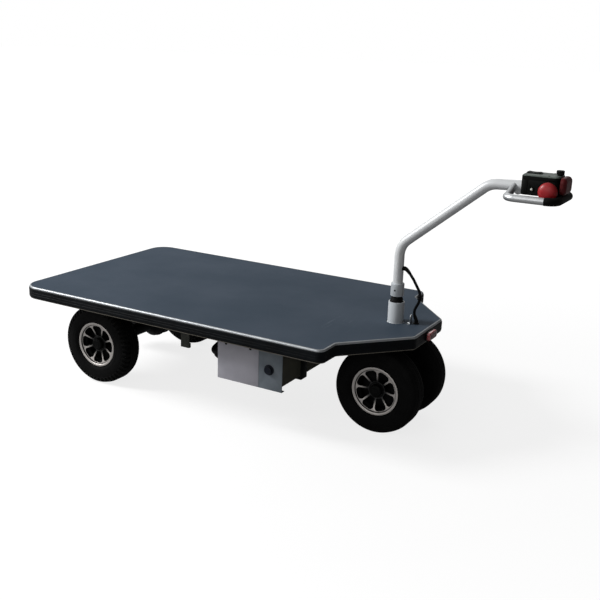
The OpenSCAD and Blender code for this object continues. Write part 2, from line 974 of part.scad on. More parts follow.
// Path of the loop handle, from one side of the tube round to the other
loop_path = [
    [loop_rear_x + loop_arm_lead, -loop_arm_in, loop_z + loop_rise],
    [loop_rear_x, -loop_arm_y, loop_z],
    [loop_rear_x, -loop_half_w, loop_z],
    [grip_x, -loop_half_w, loop_z],
    [grip_x, loop_half_w, loop_z],
    [loop_rear_x, loop_half_w, loop_z],
    [loop_rear_x, loop_arm_y, loop_z],
    [loop_rear_x + loop_arm_lead, loop_arm_in, loop_z + loop_rise]
];
loop_bends = [
    loop_arm_r, loop_corner_r, loop_front_r, loop_front_r, loop_corner_r, loop_arm_r
];

module loop_bar() color("silver")
    difference() {
        bent_bar(loop_path, loop_bends, loop_bar_r);
        rod(handle_path[2], handle_path[3], tube_r);
    }

grip_path = [
    [grip_x - grip_start_back, -loop_half_w, loop_z],
    [grip_x, -loop_half_w, loop_z],
    [grip_x, loop_half_w, loop_z],
    [grip_x - grip_start_back, loop_half_w, loop_z]
];
grip_bends = [loop_front_r, loop_front_r];

module loop_grip() color("black")
    difference() {
        bent_bar(grip_path, grip_bends, grip_r);
        bent_bar(stretched(grip_path, over), grip_bends, loop_bar_r);
    }

// Control head

module head_outline(d)
    translate([(head_rear_x + head_front_x) / 2, 0])
        polygon(box_outline(head_l, head_w, head_corner_r, d));

module head_shell() color("dimgray")
    difference() {
        union() {
            difference() {
                translate([0, 0, head_bottom])
                    linear_extrude(head_shell_h)
                        head_outline(0);
                translate([0, 0, head_bottom + head_wall])
                    linear_extrude(head_shell_h)
                        head_outline(head_wall);
            }
            difference() {
                rod(
                    [head_rear_x + head_wall, 0, handle_path[3].z],
                    [head_rear_x + tube_head_in, 0, handle_path[3].z],
                    tube_r + boss_wall
                );
                translate([head_rear_x, -head_w / 2, head_split])
                    cube([tube_head_in + over, head_w, head_shell_h]);
            }
        }
        tube_socket();
        stop_bore();
        reverse_bore();
        lamp_bore();
        head_seam();
    }

// Clears the handle tube out of the case
module tube_socket()
    translate([handle_path[3].x, 0, handle_path[3].z])
        rotate([0, atan2(handle_path[3].x - handle_path[2].x, handle_path[3].z - handle_path[2].z), 0])
            translate([0, 0, -head_l])
                cylinder(h = head_l, r = tube_r, $fn = fine);

module stop_bore()
    translate([stop_x, 0, stop_z])
        rotate([90, 0, 0])
            cylinder(h = head_w, r = stop_stem_r + play, $fn = small);

module reverse_bore()
    translate([head_front_x - 2 * head_wall, 0, reverse_z])
        rotate([0, 90, 0])
            cylinder(h = 3 * head_wall, r = reverse_stem_r + play, $fn = small);

module lamp_bore()
    translate([head_rear_x + lamp_from_rear, 0, lamp_z])
        rotate([90, 0, 0])
            cylinder(h = head_w, r = lamp_r, $fn = small);

// Groove round the case where its rear band meets the front part
module head_seam()
    difference() {
        translate([head_rear_x + seam_in, -head_w, head_bottom - over])
            cube([seam_w, 2 * head_w, head_shell_h + 2 * over]);
        translate([0, 0, head_bottom - 2 * over])
            linear_extrude(head_shell_h + 4 * over)
                head_outline(seam_depth);
    }

reverse_z = head_top - reverse_lift - reverse_h / 2;
lamp_z = head_bottom + lamp_above_seat;
knob_x = head_front_x - knob_from_front;
rocker_x = head_rear_x + rocker_from_rear;

module head_lid() color("slategray")
    difference() {
        union() {
            translate([(head_rear_x + head_front_x) / 2, 0, head_split])
                soft_slab(head_l, head_w, head_corner_r, concat([[0, 0]], rounded_edge(head_round, head_lid_h)));
            translate([rocker_x, 0, head_top])
                linear_extrude(rocker_frame_h)
                    polygon(box_outline(
                        rocker_l + 2 * rocker_frame_t,
                        rocker_w + 2 * rocker_frame_t,
                        2 * rocker_frame_t,
                        0
                    ));
        }
        translate([0, 0, head_split - over])
            linear_extrude(head_lid_h - head_wall + over)
                head_outline(head_wall + over);
        translate([rocker_x - rocker_l / 2 - gap, -rocker_w / 2 - gap, head_split - over])
            cube([rocker_l + 2 * gap, rocker_w + 2 * gap, head_lid_h + rocker_frame_h + 2 * over]);
        translate([knob_x, 0, head_split - over])
            cylinder(h = head_lid_h + 2 * over, r = knob_shaft_r + play, $fn = small);
    }

module indicator_lamp() color("honeydew")
    translate([head_rear_x + lamp_from_rear, -head_w / 2, lamp_z])
        rotate([90, 0, 0])
            rotate_extrude($fn = small)
                polygon([
                    [0, -head_wall],
                    [lamp_r, -head_wall],
                    [lamp_r, 0],
                    [lamp_bezel_r, 0],
                    [lamp_bezel_r, lamp_bezel_t / 2],
                    [lamp_bezel_r - lamp_bezel_t / 2, lamp_bezel_t],
                    [lamp_r, lamp_bezel_t],
                    [lamp_r * 0.7, lamp_bezel_t + lamp_dome * 0.7],
                    [0, lamp_bezel_t + lamp_dome]
                ]);

// Mushroom button on the right side of the head
module stop_button() color("firebrick")
    translate([stop_x, -head_w / 2, stop_z])
        rotate([90, 0, 0])
            rotate_extrude($fn = fine)
                polygon([
                    [0, -stop_stem_l],
                    [stop_stem_r, -stop_stem_l],
                    [stop_stem_r, button_travel + gap],
                    [stop_r - stop_skirt / 2, button_travel + gap],
                    [stop_r, button_travel + gap + stop_skirt / 2],
                    [stop_r, button_travel + gap + stop_skirt],
                    each [for (a = [15 : 15 : 90])
                        [
                            stop_r * cos(a),
                            button_travel + gap + stop_skirt + stop_dome * sin(a)
                        ]]
                ]);

// Wide red button that covers the head's front end
module reverse_button() color("firebrick") {
    rest = head_front_x + button_travel + gap;
    translate([rest, 0, reverse_z])
        rotate([0, 90, 0])
            soft_slab(
                reverse_h,
                reverse_w,
                reverse_round * 1.2,
                concat([[0, 0]], rounded_edge(reverse_round, reverse_t))
            );
    translate([rest - reverse_stem_l, 0, reverse_z])
        rotate([0, 90, 0])
            cylinder(h = reverse_stem_l, r = reverse_stem_r, $fn = small);
}

module speed_knob() color("black")
    translate([knob_x, 0, head_top + gap])
        difference() {
            rotate_extrude($fn = small)
                polygon([
                    [0, -knob_shaft_l],
                    [knob_shaft_r, -knob_shaft_l],
                    [knob_shaft_r, 0],
                    [knob_neck_r, 0],
                    [knob_neck_r, knob_neck_h],
                    [knob_r, knob_neck_h],
                    [knob_r, knob_h - knob_flute_r],
                    [knob_r - knob_flute_r, knob_h],
                    [0, knob_h]
                ]);
            for (i = [0 : knob_flutes - 1])
                rotate([0, 0, 360 * i / knob_flutes])
                    translate([knob_r + knob_flute_r / 2, 0, knob_neck_h - over])
                        cylinder(h = knob_h, r = knob_flute_r, $fn = 16);
        }

module direction_rocker() color("black")
    translate([rocker_x, rocker_w / 2, head_top])
        rotate([90, 0, 0])
            linear_extrude(rocker_w)
                polygon([
                    [-rocker_l / 2 + over, -rocker_depth / 2],
                    [-rocker_l / 6, -rocker_depth],
                    [rocker_l / 6, -rocker_depth],
                    [rocker_l / 2 - over, -rocker_depth / 2],
                    [rocker_l / 2 - over / 2, rocker_rise],
                    [0, rocker_rise - over],
                    [-rocker_l / 2 + over / 2, rocker_rise]
                ]);

// Control cable

module cable_upper() color("black")
    cable_sweep(cable_points(cable_upper_route), cable_r, cable_sides);

module cable_lower() color("black")
    cable_sweep(cable_points(cable_lower_route), cable_r, cable_sides);

// Inline connector between the cable's two stretches
module cable_joint() color("black") {
    foot = cable_points(cable_lower_route)[0];
    head = cable_points(cable_upper_route)[len(cable_upper_route) - 1];
    translate(foot)
        rotate_extrude($fn = small)
            polygon([
                [0, 0],
                [joint_r - joint_round, 0],
                [joint_r, joint_round],
                [joint_r, head.z - foot.z - joint_round],
                [joint_r - joint_round, head.z - foot.z],
                [0, head.z - foot.z]
            ]);
}

module cable_grommet() color("black")
    translate([cable_foot.x, cable_foot.y, board_top])
        rotate_extrude($fn = small)
            polygon([
                [0, 0],
                [grommet_r, 0],
                [grommet_r, grommet_h - grommet_round],
                [grommet_r - grommet_round, grommet_h],
                [0, grommet_h]
            ]);

// Bent strap beside the cable, held by one screw
module cable_clip() color("gainsboro")
    translate([post_x + clip_reach, 0, board_top]) {
        translate([-clip_t / 2, -clip_w / 2, 0])
            cube([clip_t, clip_w, clip_h - clip_w / 2]);
        translate([-clip_t / 2, 0, clip_h - clip_w / 2])
            rotate([0, 90, 0])
                cylinder(h = clip_t, r = clip_w / 2, $fn = small);
        translate([-clip_foot, -clip_w / 2, 0])
            cube([clip_foot, clip_w, clip_t]);
        translate([-clip_foot / 2 - clip_t / 2, 0, clip_t])
            cylinder(h = clip_screw_h, r = clip_screw_r, $fn = small);
    }

// Rear axle and drive

// Flat brackets from the rails down to saddles round the axle's tube
module axle_brackets() color("dimgray")
    for (side = [-1, 1])
        translate([rear_axle_x, side * bracket_y + bracket_t / 2, 0])
            rotate([90, 0, 0])
                linear_extrude(bracket_t)
                    difference() {
                        union() {
                            polygon([
                                [-bracket_half_l, rail_bottom],
                                [-axle_tube_r - saddle_wall, tyre_r],
                                [axle_tube_r + saddle_wall, tyre_r],
                                [bracket_half_l, rail_bottom]
                            ]);
                            translate([0, tyre_r])
                                circle(r = axle_tube_r + saddle_wall, $fn = fine);
                        }
                        translate([0, tyre_r])
                            circle(r = axle_tube_r, $fn = fine);
                    }

module transaxle_housing() color("darkslategray")
    translate([rear_axle_x, 0, tyre_r])
        difference() {
            union() {
                translate([0, axle_tube_end_y, 0])
                    rotate([90, 0, 0])
                        cylinder(h = 2 * axle_tube_end_y, r = axle_tube_r, $fn = fine);
                translate([0, case_y, 0])
                    rotate([-90, 0, 0])
                        rotate_extrude($fn = fine)
                            polygon([
                                [0, -case_w / 2 - cone_w],
                                [axle_tube_r, -case_w / 2 - cone_w],
                                [case_r, -case_w / 2],
                                [case_r, case_w / 2],
                                [axle_tube_r, case_w / 2 + cone_w],
                                [0, case_w / 2 + cone_w]
                            ]);
                translate([-neck_l, case_y, 0])
                    rotate([0, 90, 0])
                        cylinder(h = neck_l, r = neck_r, $fn = fine);
                for (i = [0 : case_ribs - 1])
                    translate([0, case_y + (i - (case_ribs - 1) / 2) * case_w / case_ribs + case_rib_t / 2, 0])
                        rotate([90, 0, 0])
                            cylinder(h = case_rib_t, r = case_r + case_rib_rise, $fn = fine);
            }
            for (side = [-1, 1])
                translate([0, side * (axle_tube_end_y - shaft_in / 2 + over), 0])
                    rotate([90, 0, 0])
                        cylinder(h = shaft_in + 2 * over, r = axle_r + play, center = true, $fn = fine);
        }

module drive_motor() color("dimgray")
    translate([rear_axle_x - neck_l, case_y, tyre_r])
        rotate([0, -90, 0]) {
            cylinder(h = motor_l, r = motor_r, $fn = fine);
            translate([0, 0, motor_l])
                cylinder(h = motor_cap_l, r = motor_cap_r, $fn = fine);
            for (i = [0 : motor_fins - 1])
                rotate([0, 0, 360 * (i + 0.5) / motor_fins])
                    translate([0, -motor_fin_t / 2, motor_fin_t])
                        cube([motor_r + motor_fin_rise, motor_fin_t, motor_l - 2 * motor_fin_t]);
            translate([0, -motor_box_w / 2, (motor_l - motor_box_w) / 2])
                cube([motor_r + motor_box_h, motor_box_w, motor_box_w]);
        }

// Stand-off bracket hanging from the right rail
module hanger_bracket() color("gray")
    translate([tray_rear_x - hanger_to_tray - hanger_l / 2, -rail_y - hanger_t / 2, 0]) {
        translate([0, 0, hanger_bottom])
            cube([hanger_l, hanger_t / 2, rail_bottom - hanger_bottom]);
        translate([0, 0, hanger_bottom])
            cube([hanger_l, hanger_t, hanger_foot_h]);
    }

// Battery tray and its contents

module battery_tray() color("darkolivegreen")
    translate([tray_rear_x, panel_y + panel_t, tray_z])
        difference() {
            cube([tray_l, tray_far_y - panel_y - panel_t, tray_top - tray_z]);
            translate([sheet_t, -over, sheet_t])
                cube([
                    cover_l - sheet_t - sheet_t / 2,
                    tray_far_y - panel_y - panel_t - sheet_t + over,
                    tray_top - tray_z
                ]);
            translate([cover_l + sheet_t / 2, -over, sheet_t])
                cube([
                    panel_l - sheet_t - sheet_t / 2,
                    tray_far_y - panel_y - panel_t - sheet_t + over,
                    tray_top - tray_z
                ]);
            translate([-over, gland_y - panel_y - panel_t, gland_z - tray_z])
                rotate([0, 90, 0])
                    cylinder(h = sheet_t + 2 * over, r = conduit_r, $fn = small);
        }

module batteries() color("midnightblue")
    for (i = [0, 1])
        translate([
            tray_rear_x + sheet_t + battery_gap,
            panel_y + panel_t + battery_gap + i * (battery_l + battery_gap),
            tray_z + sheet_t
        ]) {
            battery_w = cover_l - sheet_t * 1.5 - 2 * battery_gap;
            cube([battery_w, battery_l, battery_h]);
            for (x = [terminal_in, battery_w - terminal_in])
                translate([x, terminal_in, battery_h])
                    cylinder(h = terminal_h, r = terminal_r, $fn = small);
        }

module battery_cover() color("lightgray") {
    translate([tray_rear_x, panel_y, tray_z - panel_drop])
        cube([cover_l - seam, panel_t, panel_top - tray_z + panel_drop]);
    translate([tray_rear_x, panel_y, tray_z - panel_drop])
        cube([cover_l - seam, panel_fold, panel_t]);
}

module socket_panel() color("slategray")
    difference() {
        union() {
            translate([cover_x, panel_y, tray_z - panel_drop])
                cube([panel_l, panel_t, panel_top - tray_z + panel_drop]);
            translate([cover_x, panel_y, tray_z - panel_drop])
                cube([panel_l, panel_fold, panel_t]);
        }
        translate([socket_x, panel_y - over, socket_z])
            rotate([-90, 0, 0])
                cylinder(h = panel_t + 2 * over, r = socket_back_r, $fn = small);
    }

socket_x = cover_x + panel_l * socket_share;
socket_z = tray_z - panel_drop + socket_up;

// Charge socket closed by its screwed cap
module charge_socket() color("midnightblue")
    translate([socket_x, panel_y, socket_z])
        rotate([90, 0, 0])
            rotate_extrude($fn = small)
                polygon([
                    [0, -socket_back_l],
                    [socket_back_r, -socket_back_l],
                    [socket_back_r, 0],
                    [socket_r, 0],
                    [socket_r, socket_flange_t],
                    [socket_cap_r, socket_flange_t],
                    [socket_cap_r, socket_cap_t - socket_round],
                    [socket_cap_r - socket_round, socket_cap_t],
                    [0, socket_cap_t]
                ]);

module motor_controller() color("silver")
    translate([
        cover_x + sheet_t / 2 + controller_gap,
        panel_y + panel_t + controller_from_panel,
        tray_z + sheet_t
    ]) {
        cube([controller_w, controller_l, controller_h - controller_base_t]);
        pitch = (controller_w - controller_fin_t) / (controller_fins - 1);
        for (i = [0 : controller_fins - 1])
            translate([i * pitch, 0, controller_h - controller_base_t])
                cube([controller_fin_t, controller_l, controller_base_t]);
    }

// Hanger straps under the tray, one below each rail
module tray_straps() color("dimgray")
    for (side = [-1, 1])
        translate([tray_rear_x - strap_t, side * rail_y - strap_w / 2, tray_z - strap_drop]) {
            cube([tray_l + 2 * strap_t, strap_w, strap_t]);
            for (x = [0, tray_l + strap_t])
                translate([x, 0, 0])
                    cube([strap_t, strap_w, rail_bottom - tray_z + strap_drop]);
            translate([strap_t, 0, strap_t])
                cube([tray_l, strap_t, strap_drop - strap_t]);
            translate([strap_t, strap_w - strap_t, strap_t])
                cube([tray_l, strap_t, strap_drop - strap_t]);
        }

motor_mid_x = rear_axle_x - neck_l - motor_l / 2;
conduit_path = [
    [tray_rear_x + sheet_t, gland_y, gland_z],
    [tray_rear_x - conduit_out, gland_y, gland_z],
    [tray_rear_x - conduit_out, -conduit_run_y, conduit_run_z],
    [motor_mid_x, -conduit_run_y, conduit_run_z],
    [motor_mid_x, case_y, conduit_run_z],
    [motor_mid_x, case_y, tyre_r + motor_r + motor_box_h]
];
conduit_bends = [for (i = [1 : len(conduit_path) - 2]) conduit_bend_r];

// Cable conduit with the gland on the tray's rear wall
module power_conduit() color("black") {
    bent_bar(conduit_path, conduit_bends, conduit_r);
    translate([tray_rear_x, gland_y, gland_z])
        rotate([0, -90, 0])
            rotate_extrude($fn = small)
                polygon([
                    [0, 0],
                    [gland_r, 0],
                    [gland_r, gland_l * 0.6],
                    [gland_r * 0.8, gland_l],
                    [0, gland_l]
                ]);
}

// Wheels

function section_point(share) = [
    bead_r + share[1] * (tyre_r - bead_r),
    share[0] * tyre_w / 2
];

function mirrored_side(points) = [for (i = [len(points) - 1 : -1 : 0]) [points[i].x, -points[i].y]];

tyre_outer = [for (s = tyre_outer_shares) section_point(s)];
tyre_inner = [for (s = tyre_inner_shares) section_point(s)];
crown_ribs = [for (i = [0 : len(crown_rib_shares) - 1])
    [tyre_r - (i % 4 == 1 || i % 4 == 2 ? groove_depth : 0), crown_rib_shares[i] * tyre_w / 2]];

module tyre_body(ribs)
    rotate_extrude($fn = fine)
        polygon(concat(
            tyre_outer,
            ribs,
            mirrored_side(ribs),
            mirrored_side(tyre_outer),
            [for (i = [len(tyre_inner) - 1 : -1 : 0]) [tyre_inner[i].x, -tyre_inner[i].y]],
            [for (i = [1 : len(tyre_inner) - 1]) tyre_inner[i]]
        ));

module front_tyre() color("black") tyre_body(crown_ribs);

// Driven tyre with notched shoulders
module rear_tyre() color("black")
    difference() {
        tyre_body(crown_ribs);
        for (side = [-1, 1])
            for (i = [0 : lugs - 1])
                rotate([0, 0, 360 * (i + side / 4) / lugs])
                    translate([tyre_r - lug_depth - tyre_w * (1 - shoulder_share) / 2, -lug_gap / 2,
                        side > 0 ? lug_in_share * tyre_w / 2 : -tyre_w])
                        cube([tyre_w, lug_gap, tyre_w - lug_in_share * tyre_w / 2]);
    }

// Window between two spokes, about the angle 0
function window_outline() =
    let (
        half = 180 / spokes,
        far = window_outer_r - window_outer_fillet,
        near = window_inner_r + window_inner_fillet,
        far_angle = half - asin((spoke_w / 2 + window_outer_fillet) / far),
        near_angle = half - asin((spoke_w / 2 + window_inner_fillet) / near),
        far_centre = far * [cos(far_angle), sin(far_angle)],
        near_centre = near * [cos(near_angle), sin(near_angle)],
        far_arc = [for (i = [0 : fillet_steps])
            let (a = far_angle + (half + 90 - far_angle) * i / fillet_steps)
            far_centre + window_outer_fillet * [cos(a), sin(a)]],
        near_arc = [for (i = [0 : fillet_steps])
            let (a = half + 90 + (near_angle + 90 - half) * i / fillet_steps)
            near_centre + window_inner_fillet * [cos(a), sin(a)]],
        side = concat(far_arc, near_arc)
    )
    concat(side, [for (i = [len(side) - 1 : -1 : 0]) [side[i].x, -side[i].y]]);

// Cast rim: barrel, flanges, dished disc with spokes, and hub
module rim_body()
    difference() {
        rotate_extrude($fn = fine)
            polygon([
                [hub_r * 0.7, hub_out],
                [hub_r, hub_out],
                [window_inner_r, spoke_front_y - spoke_dish],
                [window_outer_r, spoke_front_y],
                [window_outer_r + barrel_t / 2, flange_y - flange_t],
                [bead_r, flange_y],
                [ring_r - flange_t / 4, flange_y],
                [ring_r, flange_y - flange_t / 4],
                [ring_r, flange_y - flange_t],
                [bead_r, flange_y - flange_t],
                [bead_r, flange_y - 4 * flange_t],
                [well_r + barrel_t, flange_y - 5 * flange_t],
                [well_r + barrel_t, -flange_y + 5 * flange_t],
                [bead_r, -flange_y + 4 * flange_t],
                [bead_r, -flange_y + flange_t],
                [ring_r, -flange_y + flange_t],
                [ring_r, -flange_y],
                [bead_r, -flange_y],
                [bead_r - barrel_t, -flange_y + flange_t],
                [bead_r - barrel_t, -flange_y + 4 * flange_t],
                [well_r, -flange_y + 5 * flange_t],
                [well_r, spoke_front_y - 2 * web_depth],
                [window_inner_r, spoke_front_y - spoke_dish - web_depth],
                [hub_r, spoke_front_y - spoke_dish - web_depth - rib_depth],
                [hub_r, -hub_in],
                [hub_r * 0.7, -hub_in]
            ]);
        for (i = [0 : spokes - 1])
            rotate([0, 0, 360 * i / spokes])
                translate([0, 0, -flange_y])
                    linear_extrude(2 * flange_y)
                        polygon(window_outline());
    }

module front_rim() color("silver")
    difference() {
        union() {
            rotate([0, 0, front_wheel_turn])
                rim_body();
            translate([0, 0, -hub_in])
                cylinder(h = hub_in + hub_out, r = hub_r - over, $fn = fine);
        }
        translate([0, 0, -hub_in - over])
            cylinder(h = hub_in + hub_out + 2 * over, r = bearing_step_r, $fn = fine);
        for (z = [-hub_in - over, hub_out - bearing_t])
            translate([0, 0, z])
                cylinder(h = bearing_t + over, r = bearing_r, $fn = fine);
    }

module rear_rim() color("silver")
    difference() {
        union() {
            rim_body();
            translate([0, 0, -hub_in])
                cylinder(h = hub_in + hub_out, r = hub_r - over, $fn = fine);
        }
        translate([0, 0, -hub_in - over])
            cylinder(h = hub_in + hub_out + 2 * over, r = axle_r, $fn = fine);
    }

module wheel_bearings() color("silver")
    for (z = [-hub_in, hub_out - bearing_t])
        translate([0, 0, z])
            difference() {
                cylinder(h = bearing_t, r = bearing_r, $fn = fine);
                translate([0, 0, -over])
                    cylinder(h = bearing_t + 2 * over, r = axle_r + play, $fn = fine);
            }

// Hub cap over the axle's end nut
module wheel_cap() color("dimgray")
    translate([0, 0, hub_out])
        rotate_extrude($fn = small)
            polygon([
                [cap_r, 0],
                [cap_r + cap_wall, 0],
                [cap_r + cap_wall, cap_h - cap_round],
                [cap_r + cap_wall - cap_round, cap_h],
                [0, cap_h],
                [0, cap_h - cap_wall],
                [cap_r - cap_round, cap_h - cap_wall],
                [cap_r, cap_h - cap_round - cap_wall / 2]
            ]);

// Half shaft of the transaxle, with the hub's collar and end nut
module wheel_shaft() color("silver") {
    tube_end = rear_track / 2 - axle_tube_end_y;
    translate([0, 0, -tube_end - shaft_in + gap])
        cylinder(h = tube_end + shaft_in - gap + hub_out + nut_t, r = axle_r, $fn = fine);
    translate([0, 0, -tube_end + gap])
        cylinder(h = tube_end - gap - hub_in, r = shaft_collar_r, $fn = fine);
    translate([0, 0, hub_out])
        cylinder(h = nut_t, r = nut_r, $fn = 6);
}

deck_board();
deck_mat();
edge_trim();
edge_bumper();
frame_rails();
cross_members();
nose_plate();
head_tube();
head_bushes();
nose_lamp();
cable_grommet();
cable_clip();
hanger_bracket();
axle_brackets();
transaxle_housing();
drive_motor();
battery_tray();
batteries();
battery_cover();
socket_panel();
charge_socket();
motor_controller();
tray_straps();
power_conduit();
steering_column();
bogie_yoke();
front_axle();
hinge_clevis();
hinge_pin();
cable_joint();
cable_lower();
handle_knuckle();
handle_collar();
handle_tube();
tube_grommet();
loop_bar();
loop_grip();
head_shell();
head_lid();
indicator_lamp();
cable_upper();
stop_button();
reverse_button();
speed_knob();
direction_rocker();
front_wheel(-1) front_tyre();  // front_right_tyre
front_wheel(-1) front_rim();  // front_right_rim
front_wheel(-1) wheel_bearings();  // front_right_bearings
front_wheel(-1) wheel_cap();  // front_right_cap
front_wheel(1) front_tyre();  // front_left_tyre
front_wheel(1) front_rim();  // front_left_rim
front_wheel(1) wheel_bearings();  // front_left_bearings
front_wheel(1) wheel_cap();  // front_left_cap
rear_wheel(-1) rear_tyre();  // rear_right_tyre
rear_wheel(-1) rear_rim();  // rear_right_rim
rear_wheel(-1) wheel_shaft();  // rear_right_shaft
rear_wheel(1) rear_tyre();  // rear_left_tyre
rear_wheel(1) rear_rim();  // rear_left_rim
rear_wheel(1) wheel_shaft();  // rear_left_shaft
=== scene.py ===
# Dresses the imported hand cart: camera, control cable, detailed pieces, finishes, floor and light.
import json
import math

import bmesh
import bpy
from mathutils import Matrix, Vector
from mathutils.geometry import interpolate_bezier

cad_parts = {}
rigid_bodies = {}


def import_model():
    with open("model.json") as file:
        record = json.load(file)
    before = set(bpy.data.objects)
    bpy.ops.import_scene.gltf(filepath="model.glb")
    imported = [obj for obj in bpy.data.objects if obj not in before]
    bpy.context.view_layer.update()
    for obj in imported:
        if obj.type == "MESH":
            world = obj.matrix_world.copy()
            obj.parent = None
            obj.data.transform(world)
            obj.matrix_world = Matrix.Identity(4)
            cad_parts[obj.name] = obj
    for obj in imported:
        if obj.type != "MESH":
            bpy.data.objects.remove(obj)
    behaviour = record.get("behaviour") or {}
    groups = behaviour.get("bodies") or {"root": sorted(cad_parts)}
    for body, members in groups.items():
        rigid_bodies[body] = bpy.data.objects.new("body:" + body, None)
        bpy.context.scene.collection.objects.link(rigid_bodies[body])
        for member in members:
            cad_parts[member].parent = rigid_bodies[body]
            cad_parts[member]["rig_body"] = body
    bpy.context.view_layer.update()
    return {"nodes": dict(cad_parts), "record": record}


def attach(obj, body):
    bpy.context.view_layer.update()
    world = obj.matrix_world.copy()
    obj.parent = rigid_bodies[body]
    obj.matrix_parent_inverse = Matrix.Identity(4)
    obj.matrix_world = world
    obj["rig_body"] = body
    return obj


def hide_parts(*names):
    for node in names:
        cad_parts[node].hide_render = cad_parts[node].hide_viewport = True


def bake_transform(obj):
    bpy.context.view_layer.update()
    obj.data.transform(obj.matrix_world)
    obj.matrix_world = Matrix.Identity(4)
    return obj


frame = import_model()

MM = 0.001
# Points closer than this, in millimetres, become one
MERGE = 0.002

# Places on the cart, in metres, the same as in the CAD source
REAR_X = -0.784
POST_X = REAR_X + 1.124
FRONT_X = REAR_X + 1.230
STEP_X = FRONT_X - 0.154
AXLE_X = REAR_X + 0.226
GRIP_X = POST_X + 0.4335
HEAD_FRONT = GRIP_X - 0.009
HEAD_REAR = HEAD_FRONT - 0.094
HEAD_BOTTOM = 0.714
HEAD_TOP = 0.765
HEAD_SIDE = 0.038
LOOP_REAR = POST_X + 0.303
LOOP_Z = 0.708
LOOP_HALF_W = 0.075
DECK_TOP = 0.305
DECK_HALF_W = 0.350
NOSE_HALF_W = 0.100
TAPER_HALF_W = DECK_HALF_W - 0.078
EDGE_BOTTOM = 0.267
WHEEL_R = 0.127
FRONT_WHEEL_Y = 0.085
REAR_WHEEL_Y = 0.232
COLLAR_TOP = 0.3645
NECK_TOP = 0.382
TRAY_L = 0.213
TRAY_REAR = POST_X - 0.195 - TRAY_L
TRAY_FRONT = TRAY_REAR + TRAY_L
COVER_END = TRAY_REAR + 0.137
PANEL_Y = -0.300


def put(name, data):
    """New object in the scene for a mesh, a curve, a camera or a lamp."""
    made = bpy.data.objects.new(name, data)
    bpy.context.scene.collection.objects.link(made)
    return made


# Camera at the photograph's place, worked out from the deck's outline and the four wheels

# Yaw, pitch and roll in degrees, place from the deck's rear end in metres, and lens in millimetres
CAMERA_TURN = (-29.346, 16.384, 1.9366)
CAMERA_PLACE = (2.0797, -2.2615, 1.07545)
CAMERA_LENS = 53.54
CAMERA_SENSOR = 36


def photo_camera():
    yaw, pitch, roll = (math.radians(a) for a in CAMERA_TURN)
    right = Vector((math.cos(yaw), -math.sin(yaw), 0))
    look = Vector((math.sin(yaw) * math.cos(pitch), math.cos(yaw) * math.cos(pitch), -math.sin(pitch)))
    up = right.cross(look)
    x_axis = right * math.cos(roll) + up * math.sin(roll)
    y_axis = up * math.cos(roll) - right * math.sin(roll)
    data = bpy.data.cameras.new("photo_camera")
    data.sensor_width = CAMERA_SENSOR
    data.lens = CAMERA_LENS
    data.clip_start = 0.05
    data.clip_end = 60
    camera = put("photo_camera", data)
    turn = Matrix((x_axis, y_axis, -look)).transposed().to_4x4()
    along, across, height = CAMERA_PLACE
    camera.matrix_world = Matrix.Translation((REAR_X + along, across, height)) @ turn
    bpy.context.scene.camera = camera


photo_camera()


# Colour and node helpers

def linear(code):
    """Linear colour of an sRGB hex value."""
    values = [int(code[i:i + 2], 16) / 255 for i in (1, 3, 5)]
    return [v / 12.92 if v <= 0.04045 else ((v + 0.055) / 1.055) ** 2.4 for v in values] + [1]


def add_node(tree, kind, links=(), **settings):
    """Adds a node; a setting that names an input sets it, and links are (input, socket) pairs."""
    node = tree.nodes.new(kind)
    for name, value in settings.items():
        if hasattr(node, name):
            setattr(node, name, value)
        else:
            node.inputs[name.replace("_", " ")].default_value = value
    for name, source in links:
        tree.links.new(source, node.inputs[name])
    return node


def new_material(name, base, roughness, metallic=0.0, **sockets):
    """Material with its shader's constant values set on the shader's own sockets."""
    material = bpy.data.materials.new(name)
    material.use_nodes = True
    shader = material.node_tree.nodes["Principled BSDF"]
    shader.inputs["Base Color"].default_value = linear(base)
    shader.inputs["Roughness"].default_value = roughness
    shader.inputs["Metallic"].default_value = metallic
    for key, value in sockets.items():
        shader.inputs[key.replace("_", " ")].default_value = value
    return material, material.node_tree, shader


def shade_ramp(tree, source, colours, spread):
    """Colour that goes from the first shade to the second as the source goes over the spread."""
    ramp = add_node(tree, "ShaderNodeValToRGB", [("Fac", source)])
    for stop, place, colour in zip(ramp.color_ramp.elements, spread, colours):
        stop.position = place
        stop.color = linear(colour)
    return ramp.outputs["Color"]


def noise_field(tree, size, detail, stretch=(1, 1, 1)):
    """Noise over patches of a size in metres, longer along an axis whose stretch is under 1."""
    place = add_node(tree, "ShaderNodeTexCoord").outputs["Object"]
    place = add_node(tree, "ShaderNodeMapping", [("Vector", place)], Scale=stretch).outputs["Vector"]
    noise = add_node(tree, "ShaderNodeTexNoise", [("Vector", place)], Scale=1 / size, Detail=detail)
    return noise.outputs["Fac"]


def mottle(material, colours, size):
    """Colour drift between two shades over patches of the given size in metres."""
    _, tree, shader = material
    colour = shade_ramp(tree, noise_field(tree, size, 4.0), colours, (0.35, 0.65))
    tree.links.new(colour, shader.inputs["Base Color"])
    return colour


def grain(material, size, depth, roughness=None, stretch=(1, 1, 1)):
    """Surface grain of a real size in metres: a bump of the given depth, and a drift of the roughness."""
    _, tree, shader = material
    noise = noise_field(tree, size, 3.0, stretch)
    bump = add_node(tree, "ShaderNodeBump", [("Height", noise)], Strength=1.0, Distance=depth)
    tree.links.new(bump.outputs["Normal"], shader.inputs["Normal"])
    if roughness:
        tree.links.new(value_range(tree, noise, 0.3, 0.7, *roughness), shader.inputs["Roughness"])


